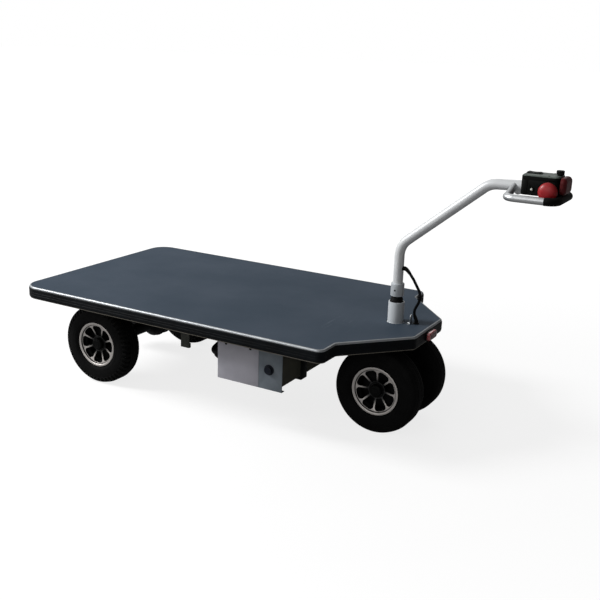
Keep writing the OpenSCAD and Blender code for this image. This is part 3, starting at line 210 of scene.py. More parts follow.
def value_range(tree, source, *ends):
    """Value that goes from the third number to the fourth as the source goes from the first to the second."""
    node = add_node(tree, "ShaderNodeMapRange", [("Value", source)])
    for end, value in zip(("From Min", "From Max", "To Min", "To Max"), ends):
        node.inputs[end].default_value = value
    return node.outputs["Result"]


def calculate(tree, operation, *terms):
    """Result of a sum on sockets and numbers."""
    node = add_node(tree, "ShaderNodeMath", operation=operation)
    for place, term in zip(node.inputs, terms):
        if isinstance(term, (int, float)):
            place.default_value = term
        else:
            tree.links.new(term, place)
    return node.outputs[0]


# Finishes

def calendered_deck_mat():
    """Calendered rubber sheet: dull blue-grey, a fine pebble, and a few pale scuffs near the post."""
    material = new_material("calendered_rubber_mat", "#414c58", 0.65, Specular_IOR_Level=0.05)
    _, tree, shader = material
    drift = mottle(material, ("#3c4753", "#454f5b"), 0.25)
    # Scuffs run across the deck, 3 mm wide and 20 times as long
    streaks = noise_field(tree, 1 / 300, 2.0, (1, 0.05, 1))
    place = add_node(tree, "ShaderNodeTexCoord").outputs["Object"]
    near = add_node(tree, "ShaderNodeVectorMath", [(0, place)], operation="DISTANCE")
    near.inputs[1].default_value = (POST_X - 0.12, -0.11, DECK_TOP)
    worn = value_range(tree, streaks, 0.62, 0.74, 0, 1)
    patch = value_range(tree, near.outputs["Value"], 0.03, 0.1, 0.35, 0)
    mixed = add_node(tree, "ShaderNodeMix", data_type="RGBA")
    mixed.inputs[7].default_value = linear("#7d868e")
    tree.links.new(calculate(tree, "MULTIPLY", worn, patch), mixed.inputs[0])
    tree.links.new(drift, mixed.inputs[6])
    tree.links.new(mixed.outputs[2], shader.inputs["Base Color"])
    # The pebble is under 1 mm on the real sheet, and is drawn at 2.5 mm so that it shows
    grain(material, 0.0025, 0.00012, (0.55, 0.7))
    return material[0]


def extruded_aluminium(name, base, light, roughness, metallic=0.9):
    """Mill-finish aluminium extrusion: bright, with a slight cloud along it."""
    material = new_material(name, base, roughness, metallic)
    mottle(material, (base, light), 0.03)
    grain(material, 0.004, 0.00002, (roughness - 0.08, roughness + 0.08))
    return material[0]


def moulded_rubber(name, base, light, roughness, size=0.0012, depth=0.00006):
    """Moulded black rubber: a faint sheen, with a fine grain and dusty patches."""
    material = new_material(name, base, roughness, Specular_IOR_Level=0.08)
    mottle(material, (base, light), 0.04)
    grain(material, size, depth, (roughness - 0.08, roughness + 0.08))
    return material[0]


def powder_coat(name, base, light, roughness, metallic=0.0, specular=0.35):
    """Powder-coated steel: even colour with a fine orange peel of about 2 mm."""
    material = new_material(name, base, roughness, metallic, Specular_IOR_Level=specular)
    mottle(material, (base, light), 0.06)
    grain(material, 0.002, 0.00003, (roughness - 0.05, roughness + 0.07))
    return material[0]


def turned_metal(name, base, light, roughness):
    """Bright metal, zinc plated or machined, with a slight cloud from the bath or the tool."""
    material = new_material(name, base, roughness, 1.0)
    mottle(material, (base, light), 0.012)
    grain(material, 0.0008, 0.00001, (roughness - 0.06, roughness + 0.1))
    return material[0]


def moulded_plastic(name, base, light, roughness, size=0.0009, depth=0.00004, specular=0.2):
    """Injection-moulded plastic with a spark-eroded grain."""
    material = new_material(name, base, roughness, IOR=1.5, Specular_IOR_Level=specular)
    mottle(material, (base, light), 0.02)
    grain(material, size, depth, (roughness - 0.06, roughness + 0.08))
    return material[0]


def clear_lens(name, base, light):
    """Moulded polycarbonate lens: wet gloss over a deep colour."""
    material = new_material(name, base, 0.18, IOR=1.58, Coat_Weight=0.6, Coat_Roughness=0.08)
    mottle(material, (base, light), 0.008)
    grain(material, 0.003, 0.00003)
    return material[0]


def sanded_plywood():
    """Sanded birch plywood: warm, with long darker fibres along the deck."""
    material = new_material("sanded_plywood", "#8a6f4e", 0.7, Specular_IOR_Level=0.3)
    mottle(material, ("#7c6242", "#957a58"), 0.02)
    grain(material, 0.004, 0.0001, (0.62, 0.78), (0.06, 1, 1))
    return material[0]


# The wheel's face is black within the first radius and bare metal beyond the second
BLACK_R, BARE_R = 0.029, 0.046
BARE_METAL, BARE_METALLIC = "#c6c1bd", 0.6
TOOL_PITCH = 0.001


def machined_alloy(name, x):
    """Cast wheel, diamond turned on its face: bright at the outside, painted black towards the hub."""
    material = new_material(name, BARE_METAL, 0.45, BARE_METALLIC)
    _, tree, shader = material
    place = add_node(tree, "ShaderNodeTexCoord").outputs["Object"]
    centred = add_node(
        tree, "ShaderNodeMapping", [("Vector", place)], Scale=(1, 0, 1), Location=(-x, 0, -WHEEL_R)
    )
    length = add_node(tree, "ShaderNodeVectorMath", [(0, centred.outputs["Vector"])], operation="LENGTH")
    radius = length.outputs["Value"]
    # Share of 100 mm, because the ramp's stops go from 0 to 1
    share = calculate(tree, "MULTIPLY", radius, 10)
    colour = shade_ramp(tree, share, ("#0b0b0b", BARE_METAL), (BLACK_R * 10, BARE_R * 10))
    tree.links.new(colour, shader.inputs["Base Color"])
    bare = value_range(tree, radius, BLACK_R, BARE_R, 0, BARE_METALLIC)
    tree.links.new(bare, shader.inputs["Metallic"])
    # Tool lines are about 0.2 mm apart on the real rim, and are drawn at 1 mm
    wave = calculate(tree, "SINE", calculate(tree, "MULTIPLY", radius, math.tau / TOOL_PITCH))
    bump = add_node(tree, "ShaderNodeBump", [("Height", wave)], Strength=0.5, Distance=0.00002)
    tree.links.new(bump.outputs["Normal"], shader.inputs["Normal"])
    return material[0]


MATERIALS = {
    "deck_mat": calendered_deck_mat(),
    "edge_aluminium": extruded_aluminium("extruded_aluminium_edge", "#94979a", "#9fa2a4", 0.5),
    "bumper_rubber": moulded_rubber("extruded_rubber_bumper", "#07090b", "#0d1013", 0.5),
    "tyre_rubber": moulded_rubber("moulded_tyre_rubber", "#060606", "#0d0d0d", 0.72, 0.0015, 0.0001),
    "grip_rubber": moulded_rubber("moulded_grip_rubber", "#080808", "#101010", 0.6),
    "cable_sheath": moulded_rubber("extruded_cable_sheath", "#08090a", "#101112", 0.45, 0.001, 0.00002),
    "frame_paint": powder_coat("black_powder_coat", "#0b0c0d", "#121415", 0.5, 0.0, 0.1),
    "tray_paint": powder_coat("olive_powder_coat", "#4f4f47", "#5a594f", 0.5, 0.0, 0.12),
    "cover_paint": powder_coat("light_grey_powder_coat", "#aeadb6", "#b9b8c1", 0.5, 0.0, 0.15),
    "panel_paint": powder_coat("blue_grey_powder_coat", "#727a82", "#7d858c", 0.5, 0.0, 0.15),
    "tube_steel": powder_coat("silver_powder_coat", "#d6d8da", "#dee0e1", 0.4, 0.1, 0.25),
    "collar_paint": powder_coat("silver_collar_coat", "#b4b9bd", "#c0c5c9", 0.42, 0.1, 0.25),
    "bar_aluminium": turned_metal("satin_aluminium_bar", "#b9bbbd", "#c4c6c7", 0.4),
    "zinc_steel": turned_metal("zinc_plated_steel", "#b9bcbe", "#cbcdce", 0.34),
    "bush_acetal": moulded_plastic("turned_black_acetal", "#101010", "#181818", 0.4),
    "black_steel": turned_metal("oxide_black_steel", "#1d1f21", "#2a2c2e", 0.45),
    "bracket_paint": powder_coat("grey_primer", "#33342f", "#3d3e38", 0.6),
    "wheel_alloy": turned_metal("machined_wheel_alloy", "#a2a3a4", "#b4b5b6", 0.36),
    "housing_iron": powder_coat("painted_cast_iron", "#101112", "#191b1d", 0.6, 0.0, 0.12),
    "head_plastic": moulded_plastic("black_moulded_case", "#050605", "#0a0b0b", 0.55, specular=0.08),
    "lid_plastic": moulded_plastic("grey_green_moulded_lid", "#59615c", "#646c67", 0.5),
    "knob_plastic": moulded_plastic("black_moulded_knob", "#060606", "#0b0b0b", 0.4, specular=0.12),
    "socket_plastic": moulded_plastic("blue_black_nylon", "#060d16", "#0a1422", 0.4),
    "battery_case": moulded_plastic("battery_case_polypropylene", "#1a1c22", "#23252c", 0.5),
    "red_plastic": moulded_plastic("red_moulded_acetal", "#97181d", "#a62228", 0.34, 0.004, 0.00001, 0.35),
    # The red lens mixes its own red with pale pink: partly its colour, partly a painted highlight for its
    # glint.
    "lamp_red": clear_lens("red_lens", "#96282c", "#c8686a"),
    "lamp_green": clear_lens("white_lens", "#d9e0d6", "#eef2ea"),
    "deck_ply": sanded_plywood(),
}
# Darker aluminium for the edge strip's flat top faces: painted shade.
EDGE_TOP_PAINTED_SHADE = extruded_aluminium("aluminium_top_painted_shade", "#434a50", "#4e555b", 0.6, 0.3)
# Darker aluminium for the edge strip's lowest faces: painted shade under the deck's edge.
EDGE_UNDERSIDE_PAINTED_SHADE = extruded_aluminium("aluminium_underside_painted_shade", "#6f6a61", "#7d786f", 0.6, 0.3)
DARK_RED = moulded_plastic("dark_red_moulded_pad", "#4f1013", "#5d1619", 0.4, 0.004, 0.00001, 0.2)
WHEEL_BLACK = powder_coat("black_wheel_enamel", "#070708", "#0d0d0e", 0.45, 0.0, 0.1)

for row in frame["record"]["subparts"]:
    solid = bpy.data.objects[row["node"]]
    solid.data.materials.clear()
    solid.data.materials.append(MATERIALS[row["material_slot"]])


# Making of pieces: shapes are built in millimetres and placed in metres

# Turns from Z to where a piece points: up, to the cart's right, to its left, or ahead
UPRIGHT = Matrix()
FACE_RIGHT = Matrix.Rotation(math.radians(90), 4, "X")
FACE_LEFT = Matrix.Rotation(math.radians(-90), 4, "X")
FACE_FRONT = Matrix.Rotation(math.radians(90), 4, "Y")


def add_piece(mesh, name, body, slot, stands_for=(), sharp=32, materials=None):
    """Object for a finished mesh, riding on a body and standing for CAD nodes."""
    for material in materials or [MATERIALS[slot]]:
        mesh.materials.append(material)
    mesh.shade_smooth()
    mesh.set_sharp_from_angle(angle=math.radians(sharp))
    piece = put(name, mesh)
    if stands_for:
        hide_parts(*stands_for)
    if body:
        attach(piece, body)
    return piece


def close_shape(shape, name, place=Matrix()):
    """Mesh of a shape made in millimetres, closed, facing outwards and put in its place."""
    bmesh.ops.remove_doubles(shape, verts=shape.verts, dist=MERGE)
    bmesh.ops.dissolve_degenerate(shape, edges=shape.edges, dist=MERGE)
    bmesh.ops.recalc_face_normals(shape, faces=shape.faces)
    bmesh.ops.transform(shape, matrix=place @ Matrix.Scale(MM, 4), verts=shape.verts)
    mesh = bpy.data.meshes.new(name)
    shape.to_mesh(mesh)
    shape.free()
    return mesh


def shaped(shape, place, name, *rest):
    """Piece from a shape made in millimetres; the rest is what add_piece takes after the name."""
    return add_piece(close_shape(shape, name, place), name, *rest)


def spun(profile, steps, closed=False):
    """Shape turned about Z from (radius, height) points."""
    shape = bmesh.new()
    points = [shape.verts.new((r, 0, z)) for r, z in profile]
    following = points[1:] + (points[:1] if closed else [])
    lines = [shape.edges.new(pair) for pair in zip(points, following)]
    bmesh.ops.spin(
        shape, geom=points + lines, cent=(0, 0, 0), axis=(0, 0, 1), dvec=(0, 0, 0),
        angle=math.tau, steps=steps, use_merge=True, use_duplicate=False
    )
    bmesh.ops.remove_doubles(shape, verts=shape.verts, dist=MERGE)
    return shape


def bevel(shape, parts, width, segments, affect="EDGES"):
    """Rounds edges, or with VERTICES the corners of a flat outline."""
    bmesh.ops.bevel(
        shape, geom=parts, offset=width, offset_type="OFFSET", affect=affect,
        segments=segments, profile=0.5, material=-1, clamp_overlap=affect == "EDGES"
    )


def soften(shape, width, angle=35):
    """Rounds every edge sharper than the angle."""
    edges = [e for e in shape.edges if len(e.link_faces) == 2 and e.calc_face_angle(0) > math.radians(angle)]
    bevel(shape, edges, width, 2)


def rounded_loop(points, radii, segments):
    """Corners of an outline, each rounded to its radius by a vertex bevel."""
    shape = bmesh.new()
    corners = [shape.verts.new((x, y, 0)) for x, y in points]
    shape.faces.new(corners)
    offsets = []
    for i, r in enumerate(radii):
        (ax, ay), (bx, by), (cx, cy) = points[i - 1], points[i], points[(i + 1) % len(points)]
        turn = math.remainder(math.atan2(cy - by, cx - bx) - math.atan2(by - ay, bx - ax), math.tau)
        offsets.append(r * math.tan(abs(turn) / 2))
    for corner, offset in zip(corners, offsets):
        bevel(shape, [corner], offset, segments, "VERTICES")
    face = max(shape.faces, key=lambda f: len(f.verts))
    loop = [(v.co.x, v.co.y) for v in face.verts]
    shape.free()
    return loop


def rounded_rectangle(length, width, radius, segments):
    a, b = length / 2, width / 2
    return rounded_loop([(-a, -b), (a, -b), (a, b), (-a, b)], [radius] * 4, segments)


def slab(outline, low, high):
    """Solid between two heights over an outline, and its upper face."""
    shape = bmesh.new()
    base = shape.faces.new([shape.verts.new((x, y, low)) for x, y in outline])
    grown = bmesh.ops.extrude_face_region(shape, geom=[base])["geom"]
    raised = [g for g in grown if isinstance(g, bmesh.types.BMVert)]
    bmesh.ops.translate(shape, verts=raised, vec=(0, 0, high - low))
    top = next(g for g in grown if isinstance(g, bmesh.types.BMFace))
    return shape, top


def add_to(shape, other, place=Matrix()):
    """Puts a second shape into the first one."""
    bmesh.ops.transform(other, matrix=place, verts=other.verts)
    spare = bpy.data.meshes.new("spare")
    other.to_mesh(spare)
    other.free()
    shape.from_mesh(spare)
    bpy.data.meshes.remove(spare)


def curve_mesh(curve):
    """Mesh of a curve, which is then removed."""
    holder = put(curve.name, curve)
    made = holder.evaluated_get(bpy.context.evaluated_depsgraph_get())
    mesh = bpy.data.meshes.new_from_object(made)
    bpy.data.objects.remove(holder)
    bpy.data.curves.remove(curve)
    return mesh


def add_line(curve, points, cyclic=True):
    """Straight-sided spline through (x, y, z) points."""
    spline = curve.splines.new("POLY")
    spline.points.add(len(points) - 1)
    spline.use_cyclic_u = cyclic
    for point, place in zip(spline.points, points):
        point.co = (*place, 1)
    return spline


def mend(mesh):
    """Joins the doubled points of a mesh in metres and turns its faces outwards."""
    shape = bmesh.new()
    shape.from_mesh(mesh)
    bmesh.ops.remove_doubles(shape, verts=shape.verts, dist=MERGE * MM)
    bmesh.ops.recalc_face_normals(shape, faces=shape.faces)
    shape.to_mesh(mesh)
    shape.free()
    return mesh


def tube(name, line, radii, sides):
    """Mesh of a capped round tube along points in metres, with one radius or one at each point."""
    curve = bpy.data.curves.new(name, "CURVE")
    curve.dimensions = "3D"
    curve.bevel_depth = 1
    curve.bevel_resolution = (sides - 4) // 2
    curve.use_fill_caps = True
    spline = add_line(curve, line, cyclic=False)
    for i, point in enumerate(spline.points):
        point.radius = radii[i] if isinstance(radii, list) else radii
    return mend(curve_mesh(curve))


def bent_line(corners, radii, step=6):
    """Points along straight runs joined by arcs, one every few degrees."""
    corners = [Vector(c) for c in corners]
    line = [corners[0]]
    for before, corner, after, radius in zip(corners, corners[1:], corners[2:], radii):
        u = (corner - before).normalized()
        v = (after - corner).normalized()
        turn = u.angle(v)
        start = corner - u * radius * math.tan(turn / 2)
        centre = start + (v - u * u.dot(v)).normalized() * radius
        steps = math.ceil(math.degrees(turn) / step)
        axis = u.cross(v)
        line += [
            centre + Matrix.Rotation(turn * i / steps, 3, axis) @ (start - centre) for i in range(steps + 1)
        ]
    return line + [corners[-1]]


# Control cable: the routes of the CAD source, from the post's axis at the deck's top

UPPER_ROUTE = (
    (17, 0, 158), (20.5, 0, 158), (26, 0, 154.5), (33, 0, 147.5), (41, 0, 138),
    (48, 1, 128), (54.5, 1, 117.5), (60.5, 2, 107), (65.5, 3, 98), (67, 3, 92), (67, 3, 88)
)
LOWER_ROUTE = (
    (59, 12, 3), (59, 12, 9), (56, 11, 17), (53, 10, 25), (52.5, 8.5, 33), (54, 7, 41),
    (57, 6, 49), (61, 5, 56.5), (64.5, 4, 63.5), (67, 3, 70), (67, 3, 74)
)
CABLE_R = 0.004
CABLE_SIDES = 20
JOINT_X, JOINT_Y = POST_X + 0.067, 0.003
JOINT_LOW, JOINT_HIGH = DECK_TOP + 0.074, DECK_TOP + 0.088


def smooth_route(route, spans=3):
    """Curve through the route's points, in metres."""
    points = [Vector((POST_X + x * MM, y * MM, DECK_TOP + z * MM)) for x, y, z in route]
    line = []
    for i, (a, b) in enumerate(zip(points, points[1:])):
        before = points[max(i - 1, 0)]
        after = points[min(i + 2, len(points) - 1)]
        line += interpolate_bezier(a, a + (b - before) / 6, b - (after - a) / 6, b, spans + 1)[:-1]
    return line + [points[-1]]


def line_length(line):
    return sum((b - a).length for a, b in zip(line, line[1:]))


def boot(name, line, length, wide):
    """Ribbed strain relief that tapers along the start of a cable."""
    stretch = [p for i, p in enumerate(line) if line_length(line[:i + 1]) <= length]
    fine = [a.lerp(b, k / 4) for a, b in zip(stretch, stretch[1:]) for k in range(4)] + [stretch[-1]]
    radii = []
    for i in range(len(fine)):
        share = i / (len(fine) - 1)
        rib = 0.0005 if i % 4 in (1, 2) and share < 0.9 else 0
        radii.append(wide + (CABLE_R + 0.0004 - wide) * share + rib)
    return tube(name, fine, radii, CABLE_SIDES)


def control_cable():
    upper = smooth_route(UPPER_ROUTE)
    lower = smooth_route(LOWER_ROUTE)
    joint = spun([
        (0, 0), (4.6, 0), (5.2, 0.6), (5.2, 2.2), (6.3, 2.8), (6.3, 5.2), (5.6, 5.7), (5.6, 8.3),
        (6.3, 8.8), (6.3, 11.2), (5.2, 11.8), (5.2, 13.4), (4.6, 14), (0, 14)
    ], 36)
    soften(joint, 0.25)
    connector = shaped(joint, Matrix.Translation((JOINT_X, JOINT_Y, JOINT_LOW)), "cable_connector",
                       "steering", "grip_rubber", ["cable_joint"])
    high_boot = add_piece(boot("tube_boot", upper, 0.026, 0.0062), "tube_boot", None, "grip_rubber")
    low_boot = add_piece(boot("deck_boot", lower, 0.024, 0.0053), "deck_boot", None, "grip_rubber")
    top = add_piece(tube("cable_upper_sheath", upper, CABLE_R, CABLE_SIDES), "cable_upper_sheath", None,
                    "cable_sheath", ["cable_upper"])
    bottom = add_piece(tube("cable_lower_sheath", lower, CABLE_R, CABLE_SIDES), "cable_lower_sheath", None,
                       "cable_sheath", ["cable_lower"])
    for piece in (top, high_boot):
        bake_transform(piece)
    for piece in (bottom, low_boot):
        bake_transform(piece)


control_cable()


# Wheels: each is made about its own axle, with Z outwards

TYRE_SIDE = [
    (63.5, 13.3), (63.5, 27.75), (73.0, 27.95), (74.0, 31.8), (76.2, 33.3), (78.7, 34.4), (79.4, 35.3),
    (82.6, 35.95), (83.0, 36.5), (85.4, 36.7), (85.8, 36.35), (90.0, 36.85), (94.0, 37.0), (98.0, 36.85),
    (101.6, 36.45), (105.0, 35.9), (107.9, 35.15), (108.6, 35.6), (110.2, 35.4), (114.3, 34.4),
    (117.4, 33.2), (120.0, 31.8), (122.1, 29.8), (123.8, 27.4), (125.1, 23.2), (126.05, 18.5)
]
CROWN = [(127, 16.3), (124, 15.6), (124, 13.9), (127, 13.2), (127, 7.2), (124, 6.5), (124, 4.8), (127, 4.1)]
BORE = [
    (69.8, 16.3), (76.2, 22.9), (87.6, 29.6), (99.1, 30.3), (109.9, 25.2), (115.6, 15.5), (116.8, 0)
]
RIM_PROFILE = [
    (61.6, 26.8), (62.4, 28.4), (63.6, 30.0), (65.0, 31.2), (66.4, 31.8), (67.6, 32.0), (69.8, 32.0),
    (71.0, 31.5), (71.5, 30.4), (71.5, 28.2),
    (63.5, 28.0), (63.5, 16.0), (59.5, 12.0), (59.5, -12.0), (63.5, -16.0), (63.5, -28.0), (71.5, -28.2),
    (71.5, -31.0), (70.5, -32.0), (64.5, -32.0), (60.0, -28.0), (60.0, -16.0), (56.0, -12.0), (56.0, 10.0),
    (60.4, 15.5), (61.0, 20.0)
]
CAP_PROFILE = [
    (0, 31.0), (9.0, 30.9), (9.6, 30.2), (10.4, 30.2), (11.0, 30.8), (14.2, 30.6), (16.8, 29.2),
    (18.3, 27.0), (18.8, 24.6), (18.8, 17.2), (0, 17.2)
]
FRONT_TURN = 20
SPOKES = 8
HALF_SPOKE = 2.5
# Windows between the spokes: their outer and inner radius, each with its corners' radius
WINDOW_OUT, WINDOW_OUT_ROUND = 61, 10
WINDOW_IN, WINDOW_IN_ROUND = 25, 3
ARC_STEPS = 8
# Spoke plate: outer radius, bore, half its thickness, its face at the hub, and how far it dishes out
PLATE_R, PLATE_BORE = 62.9, 17
PLATE_ROUND = 0.8
PLATE_HALF = 4.5
PLATE_FACE = 18
DISH, DISH_SPAN = 9, 35
# Faces of the rim and of the plate that turn out more than this are bare metal
RIM_FLATNESS, PLATE_FLATNESS = 0.7, 0.35
BARE_DEPTH = 0.0155
# Shoulder notches: radius and distance from the middle where they lie, their floor, and one in three steps
TYRE_STEPS = 144
NOTCH_R, NOTCH_FROM, NOTCH_TO = 109, 16.3, 36
FLOOR_R, FLOOR_FALL, FLOOR_TO = 118.5, 0.7, 32
NOTCH_STEPS = 3


def tyre_shape(driven):
    """Tyre on its bead, with four crown grooves and, where it drives, notched shoulders."""
    side = TYRE_SIDE + CROWN
    profile = side + [(r, -z) for r, z in reversed(side)] + [(r, -z) for r, z in BORE[:-1]]
    profile += [BORE[-1]] + list(reversed(BORE[:-1]))
    shape = spun(profile, TYRE_STEPS, closed=True)
    if driven:
        notched = []
        for face in shape.faces:
            middle = face.calc_center_median()
            turn = round(math.degrees(math.atan2(middle.y, middle.x)) / 360 * TYRE_STEPS - 0.5)
            shoulder = math.hypot(middle.x, middle.y) > NOTCH_R and NOTCH_FROM < abs(middle.z) < NOTCH_TO
            # The two sides' notches are one step apart
            if shoulder and (turn + (middle.z > 0)) % NOTCH_STEPS == 0:
                notched.append(face)
        sunk = bmesh.ops.extrude_face_region(shape, geom=notched)["geom"]
        for vert in (g for g in sunk if isinstance(g, bmesh.types.BMVert)):
            radius = math.hypot(vert.co.x, vert.co.y)
            floor = FLOOR_R - FLOOR_FALL * max(0, abs(vert.co.z) - NOTCH_FROM)
            share = min(radius, floor) / radius
            vert.co.x *= share
            vert.co.y *= share
            vert.co.z = max(-FLOOR_TO, min(FLOOR_TO, vert.co.z))
        bmesh.ops.remove_doubles(shape, verts=shape.verts, dist=MERGE)
        bmesh.ops.dissolve_degenerate(shape, edges=shape.edges, dist=MERGE)
    return shape


def window_points(half_spoke):
    """Outline of the opening between two spokes, about the X axis."""
    half = 180 / SPOKES
    side = []
    far, far_r = WINDOW_OUT - WINDOW_OUT_ROUND, WINDOW_OUT_ROUND
    near, near_r = WINDOW_IN + WINDOW_IN_ROUND, WINDOW_IN_ROUND
    far_turn = half - math.degrees(math.asin((half_spoke + far_r) / far))
    near_turn = half - math.degrees(math.asin((half_spoke + near_r) / near))
    for reach, r, turn, start, end in (
        (far, far_r, far_turn, far_turn, half + 90), (near, near_r, near_turn, half + 90, near_turn + 180)
    ):
        centre = Vector((math.cos(math.radians(turn)), math.sin(math.radians(turn)))) * reach
        for i in range(ARC_STEPS + 1):
            angle = math.radians(start + (end - start) * i / ARC_STEPS)
            side.append(centre + r * Vector((math.cos(angle), math.sin(angle))))
    rim_arc = [
        Vector((math.cos(a), math.sin(a))) * (far + far_r)
        for a in (math.radians(far_turn * (1 - 2 * i / ARC_STEPS)) for i in range(1, ARC_STEPS))
    ]
    return side + [Vector((p.x, -p.y)) for p in reversed(side)] + list(reversed(rim_arc))


def spoke_plate():
    """Dished disc with its windows, from a flat curve with rounded edges."""
    curve = bpy.data.curves.new("spoke_plate", "CURVE")
    curve.dimensions = "2D"
    curve.fill_mode = "BOTH"
    curve.extrude = PLATE_HALF - PLATE_ROUND
    curve.bevel_depth = PLATE_ROUND
    curve.bevel_resolution = 2
    outlines = [[
        (r * math.cos(math.tau * i / 96), r * math.sin(math.tau * i / 96)) for i in range(96)
    ] for r in (PLATE_R - PLATE_ROUND, PLATE_BORE + PLATE_ROUND)]
    for spoke in range(SPOKES):
        turn = Matrix.Rotation(math.tau * spoke / SPOKES, 2)
        outlines.append([tuple(turn @ p) for p in window_points(HALF_SPOKE - PLATE_ROUND)])
    for outline in outlines:
        add_line(curve, [(x, y, 0) for x, y in outline])
    shape = bmesh.new()
    mesh = curve_mesh(curve)
    shape.from_mesh(mesh)
    bpy.data.meshes.remove(mesh)
    bmesh.ops.remove_doubles(shape, verts=shape.verts, dist=MERGE)
    for vert in shape.verts:
        radius = math.hypot(vert.co.x, vert.co.y)
        dish = DISH * max(0, min(1, (radius - WINDOW_IN) / DISH_SPAN))
        vert.co.z += PLATE_FACE - PLATE_HALF + dish
    return shape


def paint_faces(mesh, y, flatness):
    """Gives the outer faces that look outwards from the wheel the machined finish, and the rest black."""
    outward = 1 if y > 0 else -1
    for face in mesh.polygons:
        depth = (face.center.y - y) * outward
        face.material_index = 0 if face.normal.y * outward > flatness and depth > BARE_DEPTH else 1


def wheel(prefix, x, y):
    """One wheel's pieces; a front wheel stands a little turned and its cap is a CAD node."""
    body = prefix + "_wheel"
    front = prefix.startswith("front")
    place = Matrix.Translation((x, y, WHEEL_R)) @ (FACE_LEFT if y > 0 else FACE_RIGHT)
    turned = place @ Matrix.Rotation(math.radians(FRONT_TURN if front else 0), 4, "Z")
    shaped(tyre_shape(not front), place, prefix + "_tread", body, "tyre_rubber", [prefix + "_tyre"], 28)
    bright = machined_alloy(prefix + "_turned_face", x)
    rim_mesh = close_shape(spun(RIM_PROFILE, 120, closed=True), prefix + "_barrel", place)
    plate_mesh = close_shape(spoke_plate(), prefix + "_spokes", turned)
    hub = spun([
        (15.1, -24), (22.0, -24), (23.0, -23), (23.0, 8), (24.5, 9.5), (24.5, 17.4), (23.6, 18.4),
        (20.0, 18.4), (19.4, 17.0), (15.1, 17.0)
    ], 72, closed=True)
    paint_faces(rim_mesh, y, RIM_FLATNESS)
    paint_faces(plate_mesh, y, PLATE_FLATNESS)
    add_piece(rim_mesh, prefix + "_barrel", body, "wheel_alloy", [prefix + "_rim"], 28, [bright, WHEEL_BLACK])
    add_piece(plate_mesh, prefix + "_spokes", body, "wheel_alloy", (), 28, [bright, WHEEL_BLACK])
    shaped(hub, place, prefix + "_hub", body, "wheel_alloy", (), 28, [WHEEL_BLACK])
    # The photograph shows no daylight between the spokes; the black disc behind them is painted shade.
    disc = spun([(23.4, -6), (55.4, -6), (55.9, -6.5), (55.9, -8.5), (55.4, -9), (23.4, -9)], 72, closed=True)
    shaped(disc, place, prefix + "_shade_disc", body, "wheel_alloy", (), 28, [WHEEL_BLACK])
    cap_node = [prefix + "_cap"] if front else ()
    shaped(spun(CAP_PROFILE, 64), place, prefix + "_hub_cap", body, "head_plastic", cap_node, 28)


for wheel_name, wheel_x, wheel_y in (
    ("front_right", POST_X, -FRONT_WHEEL_Y), ("front_left", POST_X, FRONT_WHEEL_Y),
    ("rear_right", AXLE_X, -REAR_WHEEL_Y), ("rear_left", AXLE_X, REAR_WHEEL_Y)
):
    wheel(wheel_name, wheel_x, wheel_y)


# Edge strip and bumper, swept round the deck's outline

def deck_loop():
    """The deck's outline in millimetres, the same as in the CAD source."""
    corners = [
        (REAR_X, -DECK_HALF_W), (STEP_X, -DECK_HALF_W), (STEP_X, -TAPER_HALF_W), (FRONT_X, -NOSE_HALF_W),
        (FRONT_X, NOSE_HALF_W), (STEP_X, TAPER_HALF_W), (STEP_X, DECK_HALF_W), (REAR_X, DECK_HALF_W)
    ]
    radii = [60, 22, 10, 20, 20, 10, 22, 60]
    return rounded_loop([(x / MM, y / MM) for x, y in corners], radii, 14)


def edge_piece(name, section, slot, node, materials=None):
    """Sweeps a section of (inset, height) points round the deck's outline."""
    profile = bpy.data.curves.new(name + "_section", "CURVE")
    profile.dimensions = "2D"
    path = bpy.data.curves.new(name, "CURVE")
    path.dimensions = "2D"
    path.fill_mode = "NONE"
    for curve, points in ((profile, section), (path, deck_loop())):
        add_line(curve, [(u * MM, v * MM, 0) for u, v in points])
    holder = put(name + "_section", profile)
    path.bevel_mode = "OBJECT"
    path.bevel_object = holder
    mesh = mend(curve_mesh(path))
    bpy.data.objects.remove(holder)
    bpy.data.curves.remove(profile)
    if materials:
        for face in mesh.polygons:
            # The lowest faces and the flat top faces get the two darker aluminiums, painted shade; the rest
            # keeps the bright one.
            low = face.center.z < EDGE_BOTTOM + 0.005
            face.material_index = 2 if low else int(face.normal.z > 0.99)
    add_piece(mesh, name, "chassis", slot, [node], 30, materials)


TRIM_SECTION = [
    (8.0, 305.0), (6.0, 305.0), (4.28, 304.66), (2.82, 303.68), (1.84, 302.22), (1.5, 300.5), (1.5, 299.3),
    (1.8, 299.0), (5.0, 299.0), (5.0, 270.0), (1.8, 270.0), (1.5, 269.7), (1.5, 269.3), (2.23, 267.73),
    (4.0, 267.0), (6.5, 267.0), (6.5, 302.0), (8.0, 302.0)
]
BUMPER_SECTION = [
    (5.0, 299.0), (2.5, 299.0), (0.95, 298.5), (0.19, 297.6), (0.0, 296.5), (0.0, 289.0), (0.5, 288.3),
    (0.5, 287.7), (0.0, 287.0), (0.0, 282.0), (0.5, 281.3), (0.5, 280.7), (0.0, 280.0), (0.0, 275.0),
    (0.3, 272.6), (1.25, 270.0), (5.0, 270.0)
]
edge_piece("edge_moulding", TRIM_SECTION, "edge_aluminium", "edge_trim",
           [MATERIALS["edge_aluminium"], EDGE_TOP_PAINTED_SHADE, EDGE_UNDERSIDE_PAINTED_SHADE])
edge_piece("bumper_strip", BUMPER_SECTION, "bumper_rubber", "edge_bumper")


# Handle: tube, loop and grip

